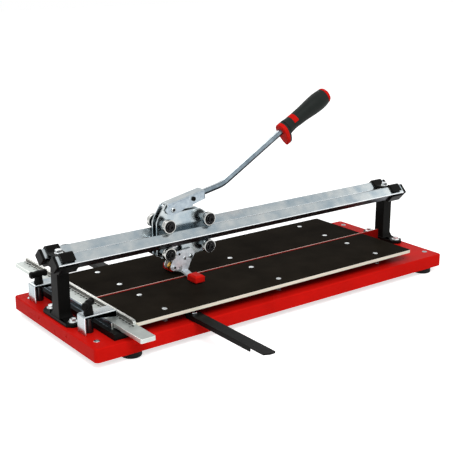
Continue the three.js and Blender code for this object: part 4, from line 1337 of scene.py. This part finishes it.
class TILECUTTER_OT_ruler(bpy.types.Operator):
    """Ruler with its scale, guide bar, clamps and wing knobs"""

    bl_idname = "tilecutter.ruler"
    bl_label = "Ruler and clamps"

    def execute(self, context):
        refined(
            "ruler",
            "ruler_bar",
            width=0.9,
            # the ruler's rounded edges are bright, partly a painted highlight
            rim="ruler rim",
            folds=self.ruler_corner,
            fold=4.0,
            # painted shade on the fence's left side; its top is bright, partly a painted highlight
            paint=[("ruler groove", self.on_fence_side), ("ruler rim", self.on_fence_top)],
        )
        refined(
            "ruler_guide",
            "ruler_guide_bar",
            width=0.6,
            # the channel's front face is bright, partly a painted highlight
            paint=[("drawn bar", self.on_channel), ("ruler rim", self.on_channel_mouth)],
        )
        for side in ("front", "rear"):
            refined(
                f"ruler_clamp_{side}",
                f"ruler_clamp_{side}_sheet",
                width=0.8,
                segments=1,
                folds=self.clamp_fold,
                fold=4.5,
                rim="bright zinc and painted highlight",
                # painted light: the clamp's inner faces get a lighter matt plate
                paint=[("matt plate", self.inside_clamp)],
            )
            self.spacer(side)
            self.knob(side)
        self.scale()
        return {"FINISHED"}

    def ruler_corner(self, edge):
        """The upright corners of the ruler's ends."""
        low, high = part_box("ruler")
        run = edge.verts[1].co - edge.verts[0].co
        return abs(run.z) > 5 * MM and any(
            all(abs(v.co.y - end) < 0.2 * MM for v in edge.verts) for end in (low.y, high.y)
        )

    def on_fence_side(self, face):
        low, high = box_mm("ruler")
        along = (face.calc_center_median().x - TRAY_MIDDLE.x) / MM
        return face.normal.x < -0.7 and low.x + 20 < along < high.x - 3

    def on_fence_top(self, face):
        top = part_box("ruler")[1].z
        return face.normal.z > 0.7 and abs(face.calc_center_median().z - top) < 1 * MM

    def on_channel(self, face):
        """The bright channel stands on top of the black bar."""
        seam = box_mm("ruler_guide")[0].z + GUIDE_SEAM
        return (face.calc_center_median().z - DECK) / MM > seam + 0.05

    def on_channel_mouth(self, face):
        return self.on_channel(face) and face.normal.y < -0.7

    def inside_clamp(self, face):
        """The inner faces of a clamp's bent sheet, which get a lighter matt finish as painted
        light.
        """
        heel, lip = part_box("ruler_clamp_front")
        spot = face.calc_center_median().x
        under = face.normal.z < -0.7
        inner_lip = face.normal.x < -0.7 and spot > lip.x - 5 * MM
        inner_heel = face.normal.x > 0.7 and spot < heel.x + 5 * MM
        return under or inner_lip or inner_heel

    def clamp_fold(self, edge):
        """The outer bend at the heel's top and at the lip's top."""
        top = max(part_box("ruler_clamp_front")[1].z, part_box("ruler_clamp_rear")[1].z)
        run = edge.verts[1].co - edge.verts[0].co
        level = all(abs(v.co.z - top) < 0.2 * MM for v in edge.verts)
        return level and abs(run.y) > 20 * MM and abs(run.x) < 1 * MM

    def spacer(self, side):
        """Black spacer round the stud, between the tray and the clamp."""
        x, y, _ = middle_mm("ruler_knob_" + side)
        under = box_mm("ruler_clamp_" + side)[1].z - 3.2
        profile = [
            (STUD, 0.2), (8.4, 0.2), (9.0, 0.8), (9.0, under - 0.8), (8.4, under),
            (STUD, under), (STUD, 0.2),
        ]
        bm = turned_mesh("Z", (x, y, 0), profile)
        shown(f"clamp_spacer_{side}", bm, "frame", "black_plastic", [finish("glossy black")])

    def knob(self, side):
        """Wing knob: a lobed bar on a flared hub."""
        node = "ruler_knob_" + side
        x, y, _ = middle_mm(node)
        low, high = box_mm(node)
        bottom, top = low.z, high.z
        turn = math.radians(KNOB_TURN[side])
        along = Vector((math.cos(turn), math.sin(turn), 0))
        across = Vector((-math.sin(turn), math.cos(turn), 0))
        hub = [
            (STUD, bottom), (10.2, bottom), (10.5, bottom + 0.6), (10.3, bottom + 3.2),
            (9.4, bottom + 4.6), (9.0, bottom + 9), (8.6, bottom + 15), (0, bottom + 17),
            (0, bottom + 1.5), (STUD, bottom + 1.5), (STUD, bottom),
        ]
        bm = bmesh.new()
        turned(bm, hub, standing("Z", (x, y, 0)))
        # One half of the wing, from its tip to the middle: run, half thickness, floor and roof.
        wing = [
            (21, 3.4, 4.0, 12.0), (20.4, 5.0, 2.2, 14.0), (18, 6.4, 0.2, 15.6),
            (14, 6.8, 0.4, 15.4), (10, 6.0, 2.6, 14.2), (5, 6.6, 1.6, 15.4),
        ]
        left = [(-run, *section) for run, *section in wing]
        lift = top - bottom - 16.5
        sections = []
        for run, thick, floor, roof in left + [(0, 6.9, 0.6, 16.2)] + wing[::-1]:
            ring = []
            middle, half = (floor + roof) / 2, (roof - floor) / 2
            for angle in around(24):
                c, s = math.cos(angle), math.sin(angle)
                a = math.copysign(abs(c) ** 0.7, c) * thick
                b = math.copysign(abs(s) ** 0.7, s) * half
                spot = along * run + across * a
                ring.append(place(x + spot.x, y + spot.y, bottom + lift + middle + b))
            sections.append(ring)
        loft(bm, sections)
        facing_out(bm)
        shown(node + "_wing", bm, BODY_OF[node], SLOT_OF[node], None, 40, [node])

    def scale(self):
        low, high = box_mm("ruler")
        fence = high.x - FENCE
        crest = high.z
        pitch = details().tick_pitch / MM
        first, last = low.y + SCALE_START, high.y - 6
        count = int((last - first) / pitch)
        rows = (
            ("fence", fence + 1.7, crest, 1, 2.2, 0.9),
            ("long", fence + 2.3, crest, 4, 3.4, 1.2),
            ("half_inch", fence - 3.4, FLAT_TOP, 4, 4.2, 7.0),
        )
        for label, x, top, every, reach, thick in rows:
            values = {
                "Count": count // every + 1,
                "Step": (0.0, pitch * every * MM, 0.0),
                "Mark": (reach * MM, thick * MM, 0.12 * MM),
                "Material": finish("ink"),
            }
            spot = (place(x, first, top), UP)
            name = f"ruler_ticks_{label}"
            grown(name, tick_tree, [spot], values, "ruler")
        inch = pitch * 8
        self.numerals(fence - 11, first, FLAT_TOP, inch, int((last - first) / inch) + 1)

    def numerals(self, x, first, top, step, count):
        bm = bmesh.new()
        for number in range(count):
            text = bpy.data.curves.new("numeral", "FONT")
            text.body = str(number)
            text.size = 6 * MM
            text.offset = 0.15 * MM
            text.extrude = 0.06 * MM
            text.align_x = "CENTER"
            text.align_y = "CENTER"
            figure = bpy.data.objects.new("numeral", text)
            bpy.context.scene.collection.objects.link(figure)
            graph = bpy.context.evaluated_depsgraph_get()
            mesh = bpy.data.meshes.new_from_object(figure.evaluated_get(graph))
            spot = Matrix.Translation(place(x, first + number * step, top))
            mesh.transform(spot @ Matrix.Rotation(math.radians(-90), 4, "Z"))
            bm.from_mesh(mesh)
            bpy.data.objects.remove(figure)
        shown("ruler_numerals", bm, "ruler", "ruler_aluminium", [finish("ink")], 35)


# ---- Support arms -------------------------------------------------------------------------------


RIVET_SPOT = (-254.0, 168.0)  # the arms' rivets, along the tray and out to each side


class TILECUTTER_OT_support(bpy.types.Operator):
    """Folding support arms and the bright rivets that they turn on"""

    bl_idname = "tilecutter.support"
    bl_label = "Support arms"

    def execute(self, context):
        for side, sign in (("front", -1), ("rear", 1)):
            refined(f"support_arm_{side}", f"support_arm_{side}_angle", width=0.6)
            self.rivet(side, sign)
        return {"FINISHED"}

    def rivet(self, side, sign):
        """Bright head and shoulder round the tray's own rivet."""
        x, y = RIVET_SPOT
        shoulder = [(7.45, 0.05), (7.9, 0.05), (7.9, 9.1), (7.45, 9.1), (7.45, 0.05)]
        head = [
            (0, 15.72), (2.2, 15.72), (2.6, 16.5), (4.8, 16.4), (6.9, 15.6), (7.3, 14.2),
            (7.3, 12.9), (0, 12.9),
        ]
        bm = turned_mesh("Z", (x, sign * y, 0), shoulder, head)
        shown(f"support_rivet_{side}", bm, "frame", "zinc_plated_steel")


# ---- Stage --------------------------------------------------------------------------------------


CAMERA_PLACE = (-1320.6, -1715.7, 765.1)
FLOOR_SIZE = 9.0  # metres from the middle to each side
FILL_SHARE = 0.3  # the side light's share of the back light's power
WHITE = (1.0, 1.0, 1.0, 1.0)


def facing(thing, direction):
    thing.rotation_mode = "QUATERNION"
    thing.rotation_quaternion = direction.to_track_quat("-Z", "Y")


def seen(tree):
    """1 where the camera looks, straight or by way of a reflection; 0 for the light it gives."""
    rays = added(tree, "ShaderNodeLightPath").outputs
    total = rays["Is Camera Ray"]
    for kind in ("Is Glossy Ray", "Is Transmission Ray"):
        pair = {0: total, 1: rays[kind]}
        total = added(tree, "ShaderNodeMath", pair, operation="ADD", use_clamp=True).outputs[0]
    return total


class TILECUTTER_OT_stage(bpy.types.Operator):
    """Pale floor, soft studio lights and the camera"""

    bl_idname = "tilecutter.stage"
    bl_label = "Stage"

    def execute(self, context):
        own = context.scene.tile_cutter_stage
        self.camera(context, own)
        self.floor(own)
        self.world(context, own)
        fill = own.fill_power
        self.light("key light", (-1.1, -1.9, 2.6), (-0.05, 0.0, 0.1), 1.8, own.key_power)
        self.light("fill light", (2.4, -0.9, 1.3), (0.0, 0.0, 0.15), 1.4, fill * FILL_SHARE)
        self.light("back light", (-0.3, 2.4, 1.9), (0.0, 0.0, 0.15), 1.6, fill)
        context.scene.view_settings.view_transform = "Standard"
        return {"FINISHED"}

    def camera(self, context, own):
        lens = bpy.data.cameras.new("camera")
        lens.lens = own.focal_length
        lens.sensor_width = 36.0
        lens.clip_end = 50.0
        camera = bpy.data.objects.new("camera", lens)
        context.scene.collection.objects.link(camera)
        turn, drop = own.camera_azimuth, own.camera_drop
        level = math.cos(drop)
        camera.location = place(*CAMERA_PLACE)
        facing(camera, Vector((math.sin(turn) * level, math.cos(turn) * level, -math.sin(drop))))
        context.scene.camera = camera

    def floor(self, own):
        material, tree, shader = fresh_finish("studio floor")
        speckle = tinted(tree, grain(tree, 300, 2), (0.80, 0.80, 0.80), (0.83, 0.83, 0.83))
        look = {"Base Color": speckle, "Roughness": 0.9, "Specular IOR Level": 0.1}
        fed(tree, shader, look)
        share = {0: seen(tree), 1: own.floor_glow}
        strength = added(tree, "ShaderNodeMath", share, operation="MULTIPLY").outputs[0]
        glow = added(tree, "ShaderNodeEmission", {"Color": WHITE, "Strength": strength})
        both = added(tree, "ShaderNodeAddShader", {0: shader.outputs[0], 1: glow.outputs[0]})
        fed(tree, tree.nodes["Material Output"], {"Surface": both.outputs[0]})
        mesh = bpy.data.meshes.new("floor")
        size, level = FLOOR_SIZE, CAD_BOX[0].z - 0.2 * MM
        corners = [(-size, -size), (size, -size), (size, size), (-size, size)]
        mesh.from_pydata([(x, y, level) for x, y in corners], [], [(0, 1, 2, 3)])
        mesh.materials.append(material)
        floor = bpy.data.objects.new("floor", mesh)
        bpy.context.scene.collection.objects.link(floor)

    def world(self, context, own):
        world = bpy.data.worlds.new("studio")
        world.use_nodes = True
        tree = world.node_tree
        span = {"Value": seen(tree), "To Min": own.sky_level, "To Max": 1.0}
        level = added(tree, "ShaderNodeMapRange", span).outputs["Result"]
        fed(tree, tree.nodes["Background"], {"Color": WHITE, "Strength": level})
        context.scene.world = world

    def light(self, name, spot, aim, size, power):
        lamp = bpy.data.lights.new(name, "AREA")
        lamp.shape = "SQUARE"
        lamp.size = size
        lamp.energy = power
        holder = bpy.data.objects.new(name, lamp)
        bpy.context.scene.collection.objects.link(holder)
        holder.location = Vector(spot)
        facing(holder, Vector(aim) - holder.location)


# ---- Add-on -------------------------------------------------------------------------------------


class TILECUTTER_PT_panel(bpy.types.Panel):
    bl_idname = "TILECUTTER_PT_panel"
    bl_label = "Tile cutter"
    bl_space_type = "VIEW_3D"
    bl_region_type = "UI"
    bl_category = "Tile cutter"

    def draw(self, context):
        for maker in MAKERS:
            self.layout.operator(maker.bl_idname)
        for group in (finishes(), details(), context.scene.tile_cutter_stage):
            box = self.layout.box()
            for name in group.__annotations__:
                box.prop(group, name)


GROUPS = (TILECUTTER_PG_finishes, TILECUTTER_PG_details, TILECUTTER_PG_stage)
MAKERS = (
    TILECUTTER_OT_stage,
    TILECUTTER_OT_tray,
    TILECUTTER_OT_tables,
    TILECUTTER_OT_rails,
    TILECUTTER_OT_carriage,
    TILECUTTER_OT_handle,
    TILECUTTER_OT_cutting,
    TILECUTTER_OT_ruler,
    TILECUTTER_OT_support,
)


def register():
    for item in (*GROUPS, *MAKERS, TILECUTTER_PT_panel):
        bpy.utils.register_class(item)
    scene = bpy.types.Scene
    scene.tile_cutter_finishes = PointerProperty(type=TILECUTTER_PG_finishes)
    scene.tile_cutter_details = PointerProperty(type=TILECUTTER_PG_details)
    scene.tile_cutter_stage = PointerProperty(type=TILECUTTER_PG_stage)


def unregister():
    scene = bpy.types.Scene
    del scene.tile_cutter_stage
    del scene.tile_cutter_details
    del scene.tile_cutter_finishes
    for item in reversed((*GROUPS, *MAKERS, TILECUTTER_PT_panel)):
        bpy.utils.unregister_class(item)


def main():
    register()
    bpy.ops.tilecutter.stage()
    bpy.ops.tilecutter.tray()
    bpy.ops.tilecutter.tables()
    bpy.ops.tilecutter.rails()
    bpy.ops.tilecutter.carriage()
    bpy.ops.tilecutter.handle()
    bpy.ops.tilecutter.cutting()
    bpy.ops.tilecutter.ruler()
    bpy.ops.tilecutter.support()


if __name__ == "__main__":
    main()
